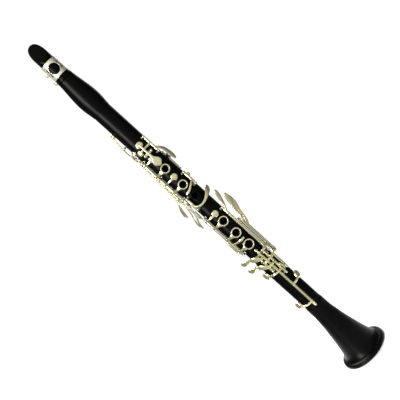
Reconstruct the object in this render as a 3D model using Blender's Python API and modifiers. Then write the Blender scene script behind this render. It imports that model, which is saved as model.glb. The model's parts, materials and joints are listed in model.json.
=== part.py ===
"""B-flat Boehm clarinet, standing on its bell.

Frame: the origin is the centre of the bell's rim face, +Z runs up to the mouthpiece tip and the
finger holes face -Y. Places on the keywork are cylinder coordinates: an angle round the body in
degrees (0 at the front, positive towards -X), a distance from the body's axis and a height, both
in millimetres. MM turns them into metres.
"""
import math

import bmesh
import bpy
from mathutils import Matrix, Vector

MM = 0.001
GAP = 0.3                     # air between pieces that touch

# Body: lengths of what shows of each section, from the bell up
BELL_LENGTH = 105.0
LOWER_LENGTH = 229.0
UPPER_LENGTH = 194.0
BARREL_LENGTH = 64.0
MOUTHPIECE_LENGTH = 68.0
LOWER_BASE = BELL_LENGTH
UPPER_BASE = LOWER_BASE + LOWER_LENGTH
BARREL_BASE = UPPER_BASE + UPPER_LENGTH
MOUTHPIECE_BASE = BARREL_BASE + BARREL_LENGTH
TIP = MOUTHPIECE_BASE + MOUTHPIECE_LENGTH

BODY = 14.6                   # outer radius of both joints
BORE = 7.4
RIM = 39.0                    # bell's widest radius
TENON = 11.4
TENON_GROOVE = 10.4           # under the cork
CORK = 11.5
SOCKET = 11.9
TENON_LENGTH = 16.0
MIDDLE_TENON_LENGTH = 13.0
LOW_TENON_LENGTH = 20.0

# Mouthpiece and ligature
SHANK = 13.1                  # mouthpiece radius next to the barrel
BLANK = 11.35                 # mouthpiece radius under the ligature
TABLE = 9.4                   # distance from the axis to the flat that the reed lies on
LIGATURE_LOW = 600.4
LIGATURE_HIGH = 625.4
LIGATURE_INNER = 12.3
LIGATURE_WALL = 0.6
LIGATURE_SHIFT = 0.7          # the band's centre lies towards the reed
LIGATURE_WINDOW = 8.0
LIGATURE_SCREWS = (618.4, 602.4)
SCREW_Y = 17.2

# Keywork
HINGE = 19.4                  # usual distance of a hinge from the body's axis
TUBE = 2.1                    # outer radius of a hinge tube
TUBE_BORE = 1.3
ROD = 0.9                     # steel rod inside the tube
POST_BALL = 2.2
POST_STEM = 1.4
SEAT = BODY + 0.6             # flat seat round a tone hole
CLOSED = SEAT + GAP           # underside of a pad that rests closed
OPEN = SEAT + GAP + 1.5       # underside of a pad that rests open
CHIMNEY = BODY + 2.5          # rim of a finger hole that a ring surrounds
RING_REST = CHIMNEY + 2.4     # middle of a ring at rest
CUP_DEPTH = 3.0
RING_HEIGHT = 1.8

BODY_STEPS = 24
TUBE_SIDES = 8
ROD_SIDES = 6
POST_SIDES = 6
CUP_SIDES = 10
HOLE_SIDES = 8
RING_SIDES = 14
STRIP_STEPS = 2               # strip sections between two given points


def clear_scene():
    for item in list(bpy.data.objects):
        bpy.data.objects.remove(item, do_unlink=True)


def make_collection(name):
    collection = bpy.data.collections.new(name)
    bpy.context.scene.collection.children.link(collection)
    return collection


clear_scene()
PARTS = make_collection("clarinet")
CUTTERS = make_collection("cutters")


def make_material(name, colour, roughness, metallic):
    material = bpy.data.materials.new(name)
    material.use_nodes = True
    shader = material.node_tree.nodes["Principled BSDF"]
    shader.inputs["Base Color"].default_value = (*colour, 1.0)
    shader.inputs["Roughness"].default_value = roughness
    shader.inputs["Metallic"].default_value = metallic
    return material


LOOKS = {
    "ebonite": ((0.012, 0.012, 0.013), 0.25, 0.0),
    "body": ((0.010, 0.011, 0.011), 0.22, 0.0),
    "plate": ((0.83, 0.81, 0.70), 0.18, 1.0),
    "steel": ((0.55, 0.55, 0.54), 0.30, 1.0),
    "cork": ((0.62, 0.42, 0.22), 0.80, 0.0),
    "cane": ((0.80, 0.66, 0.38), 0.55, 0.0),
    "pad": ((0.78, 0.70, 0.55), 0.70, 0.0),
}


def finish_part(part, look):
    """Give a finished mesh object its own material and smooth shading."""
    colour, roughness, metallic = LOOKS[look]
    part.data.materials.clear()
    part.data.materials.append(make_material(part.name, colour, roughness, metallic))
    part.data.shade_smooth()
    part.data.set_sharp_from_angle(angle=math.radians(40))
    return part


# ---------------------------------------------------------------- places

def outward(angle):
    turn = math.radians(angle)
    return Vector((-math.sin(turn), -math.cos(turn), 0.0))


def place(angle, distance, height):
    """Cylinder coordinates in millimetres to a point in metres."""
    point = outward(angle) * distance
    point.z = height
    return point * MM


def beside(angle, distance, offset):
    """Angle and distance of a point moved sideways, along the tangent, by offset."""
    return angle + math.degrees(math.atan2(offset, distance)), math.hypot(distance, offset)


def facing(direction, point):
    """A matrix at point whose local Z runs along direction."""
    turn = direction.to_track_quat("Z", "Y").to_matrix().to_4x4()
    return Matrix.Translation(point) @ turn


# ---------------------------------------------------------------- simple solids

def new_object(name, shape, collection=CUTTERS):
    mesh = bpy.data.meshes.new(name)
    shape.to_mesh(mesh)
    shape.free()
    item = bpy.data.objects.new(name, mesh)
    collection.objects.link(item)
    return item


def cylinder(start, end, radius, sides, end_radius=None):
    """A closed cylinder, or a cone, between two points in metres, radius in millimetres."""
    shape = bmesh.new()
    length = (end - start).length
    top = radius if end_radius is None else end_radius
    bmesh.ops.create_cone(shape, cap_ends=True, segments=sides, depth=length,
                          radius1=radius * MM, radius2=top * MM,
                          matrix=facing(end - start, (start + end) / 2))
    return new_object("cylinder", shape)


def block(low, high, turn=None):
    """A box from its corners in millimetres, turned about its centre when turn is given."""
    low = Vector(low) * MM
    high = Vector(high) * MM
    shape = bmesh.new()
    matrix = Matrix.Translation((low + high) / 2)
    if turn is not None:
        matrix = matrix @ turn
    matrix = matrix @ Matrix.Diagonal((*(high - low), 1.0))
    bmesh.ops.create_cube(shape, size=1.0, matrix=matrix)
    return new_object("block", shape)


def turned(name, profile, steps=BODY_STEPS, closed=True):
    """Spin a profile of (radius, height) in millimetres: down outside, then up inside.

    A profile that isn't closed has both its ends on the axis.
    """
    shape = bmesh.new()
    points = [shape.verts.new((radius * MM, 0.0, height * MM)) for radius, height in profile]
    for first, second in zip(points, points[1:]):
        shape.edges.new((first, second))
    if closed:
        shape.edges.new((points[-1], points[0]))
    item = new_object(name, shape)
    spin = item.modifiers.new("turn", "SCREW")
    spin.axis = "Z"
    spin.angle = math.tau
    spin.steps = steps
    spin.render_steps = steps
    spin.use_merge_vertices = True
    spin.merge_threshold = 0.00001
    spin.use_normal_calculate = False
    return item


def smooth_path(points, steps):
    """Catmull-Rom points through the given ones, which are tuples of any length."""
    padded = [points[0], *points, points[-1]]
    path = []
    for index in range(1, len(padded) - 2):
        before, start, end, after = padded[index - 1:index + 3]
        for step in range(steps):
            t = step / steps
            path.append(tuple(
                0.5 * (2 * b + (c - a) * t + (2 * a - 5 * b + 4 * c - d) * t * t
                       + (3 * b - a - 3 * c + d) * t ** 3)
                for a, b, c, d in zip(before, start, end, after)))
    path.append(tuple(points[-1]))
    return path


def strip(points, thickness=1.6, steps=STRIP_STEPS, face=None):
    """A flat bar through points (angle, distance, height, width) that keeps facing outward.

    It makes key arms and, where the width swells, the touches that fingers press. A bar with a
    face angle is turned to that side of the body instead.
    """
    path = smooth_path(points, steps)
    places = [place(angle, distance, height) for angle, distance, height, _ in path]
    shape = bmesh.new()
    loops = []
    for index, (angle, _, _, width) in enumerate(path):
        along = places[min(index + 1, len(places) - 1)] - places[max(index - 1, 0)]
        along.normalize()
        up = outward(angle if face is None else face)
        up = (up - along * up.dot(along)).normalized()
        side = along.cross(up) * (width * MM / 2)
        up = up * (thickness * MM / 2)
        centre = places[index]
        corners = (centre + side + up, centre - side + up, centre - side - up, centre + side - up)
        loops.append([shape.verts.new(corner) for corner in corners])
    for first, second in zip(loops, loops[1:]):
        for corner in range(4):
            beyond = (corner + 1) % 4
            shape.faces.new((first[corner], first[beyond], second[beyond], second[corner]))
    shape.faces.new(loops[0][::-1])
    shape.faces.new(loops[-1])
    bmesh.ops.recalc_face_normals(shape, faces=shape.faces)
    return new_object("strip", shape)


# ---------------------------------------------------------------- joining and cutting

def evaluated_copy(item, name, collection):
    graph = bpy.context.evaluated_depsgraph_get()
    mesh = bpy.data.meshes.new_from_object(item.evaluated_get(graph))
    mesh.name = name
    copy = bpy.data.objects.new(name, mesh)
    copy.matrix_world = item.matrix_world
    collection.objects.link(copy)
    return copy


def combine(base, others, operation):
    """Boolean the others with base one after another, and return the base with it applied."""
    for other in others:
        change = base.modifiers.new(operation.lower(), "BOOLEAN")
        change.operation = operation
        change.solver = "EXACT"
        change.object = other
    bpy.context.view_layer.update()
    result = evaluated_copy(base, base.name, CUTTERS)
    for item in (base, *others):
        bpy.data.objects.remove(item, do_unlink=True)
    return result


def tidy_mesh(part):
    shape = bmesh.new()
    shape.from_mesh(part.data)
    bmesh.ops.remove_doubles(shape, verts=shape.verts, dist=0.00002)
    bmesh.ops.dissolve_degenerate(shape, edges=shape.edges, dist=0.00001)
    bmesh.ops.dissolve_limit(shape, angle_limit=math.radians(1.0), verts=shape.verts,
                             edges=shape.edges)
    bmesh.ops.triangulate(shape, faces=shape.faces)
    shape.to_mesh(part.data)
    shape.free()


def build_part(name, look, solids, cuts=(), origin=None):
    """One named part from solids joined together and cut, with its origin on its axis."""
    result = combine(solids[0], solids[1:], "UNION")
    if cuts:
        result = combine(result, cuts, "DIFFERENCE")
    tidy_mesh(result)
    CUTTERS.objects.unlink(result)
    PARTS.objects.link(result)
    result.name = name
    result.data.name = name
    if origin is not None:
        result.data.transform(Matrix.Translation(-origin))
        result.location = origin
    return finish_part(result, look)


# ---------------------------------------------------------------- keywork elements

def tube(hinge):
    angle, distance, low, high = hinge
    return cylinder(place(angle, distance, low), place(angle, distance, high), TUBE, TUBE_SIDES)


def tube_bore(hinge):
    angle, distance, low, high = hinge
    return cylinder(place(angle, distance, low - 1), place(angle, distance, high + 1),
                    TUBE_BORE, TUBE_SIDES)


def hub_ends(hub):
    """Both ends of a hub whose hinge runs across the body: (angle, distance, height, length)."""
    angle, distance, height, length = hub
    across = outward(angle + 90) * (length * MM / 2)
    centre = place(angle, distance, height)
    return centre - across, centre + across


def turned_outward(name, profile, steps, angle, distance, height, closed=True):
    """A turned solid whose own axis points away from the body's axis."""
    item = turned(name, profile, steps, closed=closed)
    item.matrix_world = facing(outward(angle), place(angle, distance, height))
    bpy.context.view_layer.update()
    result = evaluated_copy(item, name, CUTTERS)
    bpy.data.objects.remove(item, do_unlink=True)
    result.data.transform(result.matrix_world)
    result.matrix_world = Matrix.Identity(4)
    return result


def cup(angle, height, underside, diameter, depth=CUP_DEPTH):
    """A pad cup with its pad: a low dome on a flat disc."""
    radius = diameter / 2
    profile = [(0.0, depth), (radius * 0.62, depth * 0.93), (radius, depth * 0.6),
               (radius, 0.0), (0.0, 0.0)]
    return turned_outward("cup", profile, CUP_SIDES, angle, underside, height, closed=False)


def ring(angle, height, distance, outer, inner):
    """A finger ring: a flat band round a raised tone hole."""
    half = RING_HEIGHT / 2
    edge = 0.5
    profile = [(outer - edge, half), (outer, half - edge), (outer, -half), (inner, -half),
               (inner, half - edge), (inner + edge, half)]
    return turned_outward("ring", profile, RING_SIDES, angle, distance, height)


def long_key(name, hinge, pieces):
    """A key on a hinge tube along the body."""
    angle, distance, low, high = hinge
    origin = place(angle, distance, (low + high) / 2)
    return build_part(name, "plate", [tube(hinge), *pieces], [tube_bore(hinge)], origin)


def cross_key(name, hub, pieces):
    """A key that rocks on a short hub across the body."""
    start, end = hub_ends(hub)
    reach = (end - start).normalized() * MM
    hub_solid = cylinder(start, end, TUBE, TUBE_SIDES)
    bore = cylinder(start - reach, end + reach, TUBE_BORE, TUBE_SIDES)
    return build_part(name, "plate", [hub_solid, *pieces], [bore], (start + end) / 2)


def post(angle, distance, height):
    """A ball-headed post that stands on the body and holds the end of a rod."""
    base = BODY + GAP
    centre = distance - base
    profile = [(0.0, centre + POST_BALL)]
    for turn in (50, 0, -45):
        profile.append((POST_BALL * math.cos(math.radians(turn)),
                        centre + POST_BALL * math.sin(math.radians(turn))))
    profile += [(POST_STEM, 0.9), (POST_STEM * 1.45, 0.5), (POST_STEM * 1.45, 0.0), (0.0, 0.0)]
    return turned_outward("post", profile, POST_SIDES, angle, base, height, closed=False)


def pivot(name, heads):
    """A steel rod through the ball heads of its posts, given as (angle, distance, height)."""
    rod = cylinder(place(*heads[0]), place(*heads[-1]), ROD, ROD_SIDES)
    return build_part(name, "steel", [rod, *[post(*head) for head in heads]])


def saddle_pivot(name, angle, distance, height):
    """One post with a rod through its head that carries a lever at each side."""
    half = distance * math.sin(math.radians(TRILL_SPREAD)) + TRILL_HUB_LENGTH / 2 + 0.5
    centre = place(angle, distance, height)
    across = outward(angle + 90) * (half * MM)
    rod = cylinder(centre - across, centre + across, ROD, ROD_SIDES)
    build_part(name, "steel", [rod, post(angle, distance, height)])


def trill_key(name, hub, saddle, pieces):
    """A lever on a saddle's rod, whose line is square to the saddle and not to the lever."""
    angle, _, height, length = hub
    saddle_angle, distance = saddle
    across = outward(saddle_angle + 90)
    side = 1 if angle > saddle_angle else -1
    offset = distance * math.sin(math.radians(TRILL_SPREAD)) * side
    centre = place(saddle_angle, distance, height) + across * (offset * MM)
    half = across * (length * MM / 2)
    hub_solid = cylinder(centre - half, centre + half, TUBE, TUBE_SIDES)
    bore = cylinder(centre - half * 2, centre + half * 2, TUBE_BORE, TUBE_SIDES)
    return build_part(name, "plate", [hub_solid, *pieces], [bore], centre)


def long_pivot(name, hinge, middles=()):
    """Posts just beyond both ends of a hinge, and at the heights in middles."""
    angle, distance, low, high = hinge
    reach = POST_BALL + GAP
    heights = (low - reach, *middles, high + reach)
    return pivot(name, [(angle, distance, height) for height in heights])


def cross_pivot(name, hub):
    angle, distance, height, length = hub
    reach = length / 2 + POST_BALL + GAP
    heads = [(*beside(angle, distance, offset), height) for offset in (-reach, reach)]
    return pivot(name, heads)


# ---------------------------------------------------------------- tone holes
# (angle, height, hole radius, seat radius, seat distance)

UPPER_HOLES = [
    (0, 458, 2.4, 4.0, SEAT), (29, 449, 2.4, 3.6, SEAT), (58, 455, 2.2, 3.6, SEAT),
    (78, 443.5, 2.2, 3.6, SEAT), (10, 431.8, 2.4, 4.0, SEAT), (0, 392.9, 2.4, 4.0, SEAT),
    (76, 493, 1.6, 3.4, SEAT), (-88, 380, 2.6, 4.0, SEAT), (90, 350, 2.8, 4.0, SEAT),
    (123, 404, 2.6, 3.6, SEAT), (139, 392, 2.6, 3.6, SEAT), (-104, 418, 2.4, 3.8, SEAT),
    (0, 409.9, 3.6, 4.6, CHIMNEY), (0, 376.7, 3.8, 4.7, CHIMNEY), (0, 353, 4.0, 5.4, SEAT),
    (180, 400, 3.6, 4.6, CHIMNEY),
]
LOWER_HOLES = [
    (0, 314.4, 2.6, 4.0, SEAT), (74, 211, 3.6, 4.6, SEAT), (0, 298.8, 4.0, 5.0, CHIMNEY),
    (0, 273.8, 4.0, 5.0, CHIMNEY), (0, 248.7, 4.2, 5.2, CHIMNEY), (118, 262, 2.6, 3.8, SEAT),
    (62, 193.5, 4.0, 4.9, SEAT), (-60, 161.4, 4.0, 4.9, SEAT), (62, 126, 4.0, 4.9, SEAT),
]


def seats_and_holes(holes):
    seats = [cylinder(place(angle, BORE + 3, height), place(angle, top, height), seat, CUP_SIDES)
             for angle, height, _, seat, top in holes]
    cuts = [cylinder(place(angle, 2.0, height), place(angle, top + 2, height), hole, HOLE_SIDES)
            for angle, height, hole, _, top in holes]
    return seats, cuts


# ---------------------------------------------------------------- body

def make_bell():
    wall = 3.4
    flare = [(15.3, BELL_LENGTH), (15.5, 96), (16.2, 86), (17.4, 76), (19.0, 64), (21.4, 50),
             (24.3, 34), (27.1, 21), (29.8, 12.0), (33.2, 7.4), (37.2, 5.4), (RIM, 3.2),
             (RIM, 0.0)]
    inside = [(RIM - 3.6, 0.0)]
    inside += [(radius - wall, height) for radius, height in reversed(flare[4:9])]
    socket_floor = BELL_LENGTH - LOW_TENON_LENGTH - 1.0
    inside += [(12.0, socket_floor - 6), (11.0, socket_floor), (SOCKET, socket_floor),
               (SOCKET, BELL_LENGTH)]
    build_part("bell", "body", [turned("bell", flare + inside)])


def tenon(base, direction, length, groove_inset=3.0):
    """Profile points of a corked tenon, from the shoulder outward."""
    tip = base + direction * length
    return [(TENON, base), (TENON, base + direction * groove_inset),
            (TENON_GROOVE, base + direction * groove_inset),
            (TENON_GROOVE, tip - direction * groove_inset),
            (TENON, tip - direction * groove_inset), (TENON, tip)]


def make_lower_joint():
    top = UPPER_BASE - GAP
    bottom = LOWER_BASE + GAP
    socket_floor = UPPER_BASE - MIDDLE_TENON_LENGTH - 1.0
    profile = [(BODY, top), (BODY, bottom + 7), (15.3, bottom + 2), (15.3, bottom)]
    profile += tenon(bottom, -1, LOW_TENON_LENGTH)
    profile += [(9.2, bottom - LOW_TENON_LENGTH), (BORE, 170), (BORE, socket_floor),
                (SOCKET, socket_floor), (SOCKET, top)]
    seats, cuts = seats_and_holes(LOWER_HOLES)
    build_part("lower_joint", "body", [turned("lower_joint", profile), *seats], cuts)


def make_upper_joint():
    top = BARREL_BASE - GAP
    bottom = UPPER_BASE
    profile = list(reversed(tenon(top, 1, TENON_LENGTH)))
    profile += [(BODY, top), (BODY, bottom)]
    profile += tenon(bottom, -1, MIDDLE_TENON_LENGTH)
    profile += [(BORE, bottom - MIDDLE_TENON_LENGTH), (BORE, top + TENON_LENGTH)]
    seats, cuts = seats_and_holes(UPPER_HOLES)
    build_part("upper_joint", "body", [turned("upper_joint", profile), *seats], cuts)


def make_barrel():
    low = BARREL_BASE
    high = MOUTHPIECE_BASE - GAP
    floor_low = low + TENON_LENGTH + 4.0
    floor_high = high - TENON_LENGTH - 1.0
    profile = [(13.3, high), (13.6, high - 4), (15.2, high - 17), (16.6, high - 30),
               (17.0, high - 40), (16.6, high - 49), (15.2, high - 60), (14.9, low),
               (SOCKET, low), (SOCKET, floor_low), (BORE, floor_low), (BORE, floor_high),
               (SOCKET, floor_high), (SOCKET, high)]
    build_part("barrel", "body", [turned("barrel", profile)])


def make_cork(name, base, direction, length):
    groove_inset = 3.0
    ends = sorted((base + direction * (groove_inset + GAP),
                   base + direction * (length - groove_inset - GAP)))
    low, high = ends
    inner = TENON_GROOVE + GAP
    profile = [(CORK, high), (CORK, low), (inner, low), (inner, high)]
    build_part(name, "cork", [turned(name, profile, BODY_STEPS)])


def make_corks():
    make_cork("mouthpiece_cork", MOUTHPIECE_BASE, -1, TENON_LENGTH)
    make_cork("top_tenon_cork", BARREL_BASE - GAP, 1, TENON_LENGTH)
    make_cork("middle_tenon_cork", UPPER_BASE, -1, MIDDLE_TENON_LENGTH)
    make_cork("bell_tenon_cork", LOWER_BASE + GAP, -1, LOW_TENON_LENGTH)


def make_mouthpiece():
    low = MOUTHPIECE_BASE
    profile = [(0.0, TIP + 4), (BLANK, TIP + 4), (BLANK, LIGATURE_LOW - 1),
               (12.7, LIGATURE_LOW - 2.2), (SHANK, low + 2), (SHANK, low)]
    profile += tenon(low, -1, TENON_LENGTH)
    profile += [(BORE, low - TENON_LENGTH), (BORE, LIGATURE_HIGH - 6), (0.0, LIGATURE_HIGH + 4)]
    beak_rise = TIP - (LIGATURE_HIGH + 1.0)
    beak_run = BLANK + TABLE - 0.9
    slope = math.atan2(beak_run, beak_rise)
    cutter_size = 60.0
    middle_y = (-BLANK + TABLE - 0.9) / 2
    middle_z = (TIP + LIGATURE_HIGH + 1.0) / 2
    away = Vector((0, -math.cos(slope), math.sin(slope))) * cutter_size / 2
    centre = Vector((0, middle_y, middle_z)) + away
    half = Vector((cutter_size, cutter_size, cutter_size)) / 2
    beak = block(centre - half, centre + half, Matrix.Rotation(-slope, 4, "X"))
    table = block((-20, TABLE, low + 1.5), (20, TABLE + 20, TIP + 10))
    window = block((-5.0, 4.2, 612), (5.0, TABLE + 5, 648))
    # Round tip: everything outside an arch seen from the front is cut away
    right = [(11.4 * math.cos(turn) ** 0.75, 636 + (TIP - 636) * math.sin(turn) ** 1.15)
             for turn in [math.radians(step) for step in range(0, 90, 10)]]
    left = [(-x, z) for x, z in reversed(right)]
    arch = [(20, TIP + 8), (20, 636), *right, (0.0, TIP), *left, (-20, 636), (-20, TIP + 8)]
    build_part("mouthpiece", "ebonite", [turned("mouthpiece", profile, closed=False)],
               [table, beak, window, upright_slab(arch)])


def upright_slab(outline):
    """A slab across the front, from an outline of (x, z) in millimetres."""
    curve = bpy.data.curves.new("arch", "CURVE")
    curve.dimensions = "2D"
    curve.fill_mode = "BOTH"
    curve.extrude = 30 * MM
    spline = curve.splines.new("POLY")
    spline.points.add(len(outline) - 1)
    for point, (x, z) in zip(spline.points, outline):
        point.co = (x * MM, z * MM, 0.0, 1.0)
    spline.use_cyclic_u = True
    item = bpy.data.objects.new("arch", curve)
    CUTTERS.objects.link(item)
    item.rotation_euler = (math.pi / 2, 0.0, 0.0)
    bpy.context.view_layer.update()
    slab = evaluated_copy(item, "arch", CUTTERS)
    bpy.data.objects.remove(item, do_unlink=True)
    shape = bmesh.new()
    shape.from_mesh(slab.data)
    bmesh.ops.remove_doubles(shape, verts=shape.verts, dist=0.00001)
    bmesh.ops.recalc_face_normals(shape, faces=shape.faces)
    shape.to_mesh(slab.data)
    shape.free()
    return slab


def make_reed():
    """Flat side on the table, thinning towards the tip."""
    shape = bmesh.new()
    loops = []
    flat = TABLE + GAP
    stations = [(594.0, 5.6, 2.5), (626.0, 5.8, 2.5), (628.0, 5.8, 2.4), (645.0, 6.1, 1.3),
                (655.0, 6.3, 0.6), (658.5, 5.4, 0.4), (TIP - 0.3, 3.2, 0.35)]
    for height, half, thick in stations:
        corners = ((half, flat), (half, flat + thick * 0.5), (half * 0.5, flat + thick),
                   (-half * 0.5, flat + thick), (-half, flat + thick * 0.5), (-half, flat))
        loops.append([shape.verts.new((x * MM, y * MM, height * MM)) for x, y in corners])
    for first, second in zip(loops, loops[1:]):
        for corner in range(6):
            beyond = (corner + 1) % 6
            shape.faces.new((first[corner], first[beyond], second[beyond], second[corner]))
    shape.faces.new(loops[0][::-1])
    shape.faces.new(loops[-1])
    bmesh.ops.recalc_face_normals(shape, faces=shape.faces)
    build_part("reed", "cane", [new_object("reed", shape)])


def make_ligature():
    outer = LIGATURE_INNER + LIGATURE_WALL
    profile = [(outer, LIGATURE_HIGH), (outer, LIGATURE_LOW), (LIGATURE_INNER, LIGATURE_LOW),
               (LIGATURE_INNER, LIGATURE_HIGH)]
    band = turned("ligature", profile, 32)
    band.location.y = LIGATURE_SHIFT * MM
    bpy.context.view_layer.update()
    placed = evaluated_copy(band, "ligature", CUTTERS)
    bpy.data.objects.remove(band, do_unlink=True)
    placed.data.transform(placed.matrix_world)
    placed.matrix_world = Matrix.Identity(4)
    back = LIGATURE_SHIFT + outer
    solids = [placed]
    cuts = [block((-1.2, 8, LIGATURE_LOW - 1), (1.2, 30, LIGATURE_HIGH + 1))]
    middle = (LIGATURE_LOW + LIGATURE_HIGH) / 2
    window_axis = Vector((0, -30 * MM, (middle - 0.5) * MM))
    cuts.append(cylinder(window_axis, Vector((0, 0, window_axis.z)), LIGATURE_WINDOW, 24))
    for angle in (48, -48):
        slot = strip([(angle, outer, LIGATURE_LOW + 6, 2.2), (angle, outer, LIGATURE_HIGH - 7, 2.2)],
                     5.0, 1)
        cuts.append(slot)
    for height in LIGATURE_SCREWS:
        for low_x, high_x in ((1.3, 4.8), (-4.8, -1.3)):
            solids.append(block((low_x, back - 0.65, height - 3), (high_x, SCREW_Y + 3.0, height + 3)))
        cuts.append(cylinder(Vector((-9, SCREW_Y, height)) * MM, Vector((9, SCREW_Y, height)) * MM,
                             1.6, 10))
    build_part("ligature", "plate", solids, cuts)
    for label, height in zip(("upper", "lower"), LIGATURE_SCREWS):
        origin = Vector((-10, SCREW_Y, height)) * MM
        shaft = cylinder(Vector((-8, SCREW_Y, height)) * MM, Vector((7.5, SCREW_Y, height)) * MM,
                         1.2, 10)
        head = cylinder(Vector((-16.5, SCREW_Y, height)) * MM, Vector((-7, SCREW_Y, height)) * MM,
                        3.9, 16, 2.2)
        build_part("ligature_screw_" + label, "plate", [head, shaft], (), origin)


def make_thumb_rest():
    back = BODY + GAP
    plate = strip([(180, back + 1.0, 282, 9.0), (180, back + 1.0, 250, 9.0)], 2.0, 1)
    hook = strip([(180, back + 1.2, 276, 11.0), (180, back + 9, 274, 12.0),
                  (180, back + 15, 270, 12.0), (180, back + 17, 262, 11.0)], 2.4)
    build_part("thumb_rest", "plate", [plate, hook])


# ---------------------------------------------------------------- upper-joint keys

REGISTER_HUB = (88, 18.6, 470, 4.0)
A_HUB = (0, 19.6, 441.5, 7.0)
TRILL_HUB_LENGTH = 2.8
TRILL_SPREAD = 11.5           # degrees from a trill saddle to the lever at each side
TRILL_FACES = {"upper": 68, "lower": 74}
TRILL_SADDLES = {"upper": (95.0, 18.8, 418.0), "lower": (130.0, 18.8, 380.0)}
G_SHARP_HINGE = (-42, 19.0, 436, 459.5)
INDEX_HINGE = (60, HINGE, 407.4, 435)
MIDDLE_HINGE = (60, HINGE, 363, 402.0)
LEFT_SLIVER_HINGE = (-45, HINGE, 366.5, 384.5)
C_SHARP_HINGE = (38, HINGE, 339, 355.0)
THUMB_HINGE = (-130, HINGE, 395, 424.0)


def make_register_key():
    pieces = [cup(76, 493, CLOSED, 8.4),
              strip([(77, CLOSED + 2.6, 493, 3.4), (82, 19.2, 482, 3.0), (88, 20.0, 470, 3.2),
                     (100, 20.4, 459, 3.2), (126, 20.6, 447, 3.6), (156, 21.0, 437, 5.0),
                     (174, 21.6, 430, 9.0), (180, 21.8, 424, 8.0)], 1.7)]
    cross_key("register_key", REGISTER_HUB, pieces)
    cross_pivot("register_pivot", REGISTER_HUB)


def make_a_key():
    pieces = [cup(0, 458, CLOSED, 10.2),
              strip([(0, CLOSED + 2.4, 459, 3.4), (0, 20.6, 451, 2.8), (0, 21.2, 441.5, 3.0),
                     (0, 22.0, 434, 4.0), (0, 22.4, 428, 11.5), (0, 22.4, 423, 12.2),
                     (0, 22.2, 419.2, 5.5)], 1.6)]
    cross_key("a_key", A_HUB, pieces)
    cross_pivot("a_pivot", A_HUB)


def make_g_sharp_key():
    pieces = [cup(29, 449, CLOSED, 8.8),
              strip([(-42, 20.2, 449.7, 3.0), (-22, 18.0, 449.7, 2.6), (0, 17.4, 449.7, 2.6),
                     (24, 17.6, 449.2, 3.2)], 1.6),
              strip([(-42, 19.6, 440, 3.0), (-52, 21.6, 436, 4.0), (-62, 23.0, 428, 6.5),
                     (-64, 23.8, 416, 7.5), (-64, 23.8, 409, 4.0)], 1.6,
                    face=-42)]
    long_key("g_sharp_key", G_SHARP_HINGE, pieces)
    long_pivot("g_sharp_pivot", G_SHARP_HINGE)


def make_side_keys():
    """Four long levers; each swells into a touch that stands out for the right hand."""
    pads = {"upper": ((78, 443.5), (58, 455)), "lower": ((123, 404), (141, 392))}
    necks = {"upper": ([(82, 19.6, 440, 3.0)], [(70, 19.6, 453, 3.0), (98, 19.8, 448, 3.0),
                                                (105, 19.8, 438, 3.0)]),
             "lower": ([(120, 19.6, 400, 3.0)], [(141, 19.6, 390, 3.0)])}
    touches = {"upper": ([(85, 22.4, 372, 3.0), (84, 25.6, 358, 4.0), (80, 29.6, 347, 7.5),
                          (79, 31.4, 338, 4.0)],
                         [(106, 21.0, 368, 3.0), (101, 26.0, 358, 4.5), (98, 30.5, 349, 7.5),
                          (97, 33.0, 340, 4.0)]),
               "lower": ([(117, 21.0, 358, 3.0), (100, 23.6, 338, 3.6), (84, 26.6, 328, 6.5),
                          (80, 28.5, 321, 7.0), (79, 29.0, 315, 4.0)],
                         [(138, 21.5, 354, 3.0), (122, 24.4, 330, 4.0), (110, 27.4, 318, 7.0),
                          (106, 28.8, 308, 4.0)])}
    number = 1
    for label, (angle, distance, height) in TRILL_SADDLES.items():
        saddle_pivot(label + "_trill_pivot", angle, distance, height)
        for side in (0, 1):
            lever = angle + (2 * side - 1) * TRILL_SPREAD
            hub = (lever, distance + 0.3, height, TRILL_HUB_LENGTH)
            pad_angle, pad_height = pads[label][side]
            pieces = [cup(pad_angle, pad_height, CLOSED, 8.0),
                      strip([(pad_angle, CLOSED + 2.4, pad_height, 3.4), *necks[label][side],
                             (lever, 20.4, height, 3.0)], 1.6),
                      strip([(lever, 20.4, height + 1, 3.0), *touches[label][side]], 1.6, 3,
                            TRILL_FACES[label])]
            trill_key("side_key_%d" % number, hub, (angle, distance), pieces)
            number += 1


def make_ring_keys():
    arm = HINGE + 1.2
    flat = RING_REST
    index_pieces = [cup(10, 431.8, OPEN, 9.4),
                    strip([(60, arm, 431.8, 3.0), (40, 20.4, 431.8, 2.6), (16, 19.6, 431.8, 3.2)]),
                    ring(0, 409.9, flat, 6.9, 5.25),
                    strip([(60, arm, 409.9, 4.0), (40, 20.2, 409.9, 3.6), (20, flat + 0.9, 409.9, 6.0)])]
    long_key("index_ring_key", INDEX_HINGE, index_pieces)
    middle_pieces = [cup(0, 392.9, OPEN, 9.8),
                     strip([(60, arm, 392.9, 3.0), (34, 20.4, 392.9, 2.6), (8, 19.6, 392.9, 3.2)]),
                     ring(0, 376.7, flat, 7.1, 5.4),
                     strip([(60, arm, 376.7, 4.0), (40, 20.2, 376.7, 3.6), (20, flat + 0.9, 376.7, 6.0)]),
                     strip([(60, arm, 366.6, 4.0), (69, 22.0, 362, 3.0), (67, 21.4, 345, 3.0),
                            (67, 21.4, 324, 3.6)])]
    long_key("middle_ring_key", MIDDLE_HINGE, middle_pieces)
    joined = (INDEX_HINGE[0], INDEX_HINGE[1], MIDDLE_HINGE[2], INDEX_HINGE[3])
    long_pivot("left_ring_pivot", joined, [(INDEX_HINGE[2] + MIDDLE_HINGE[3]) / 2])


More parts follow.
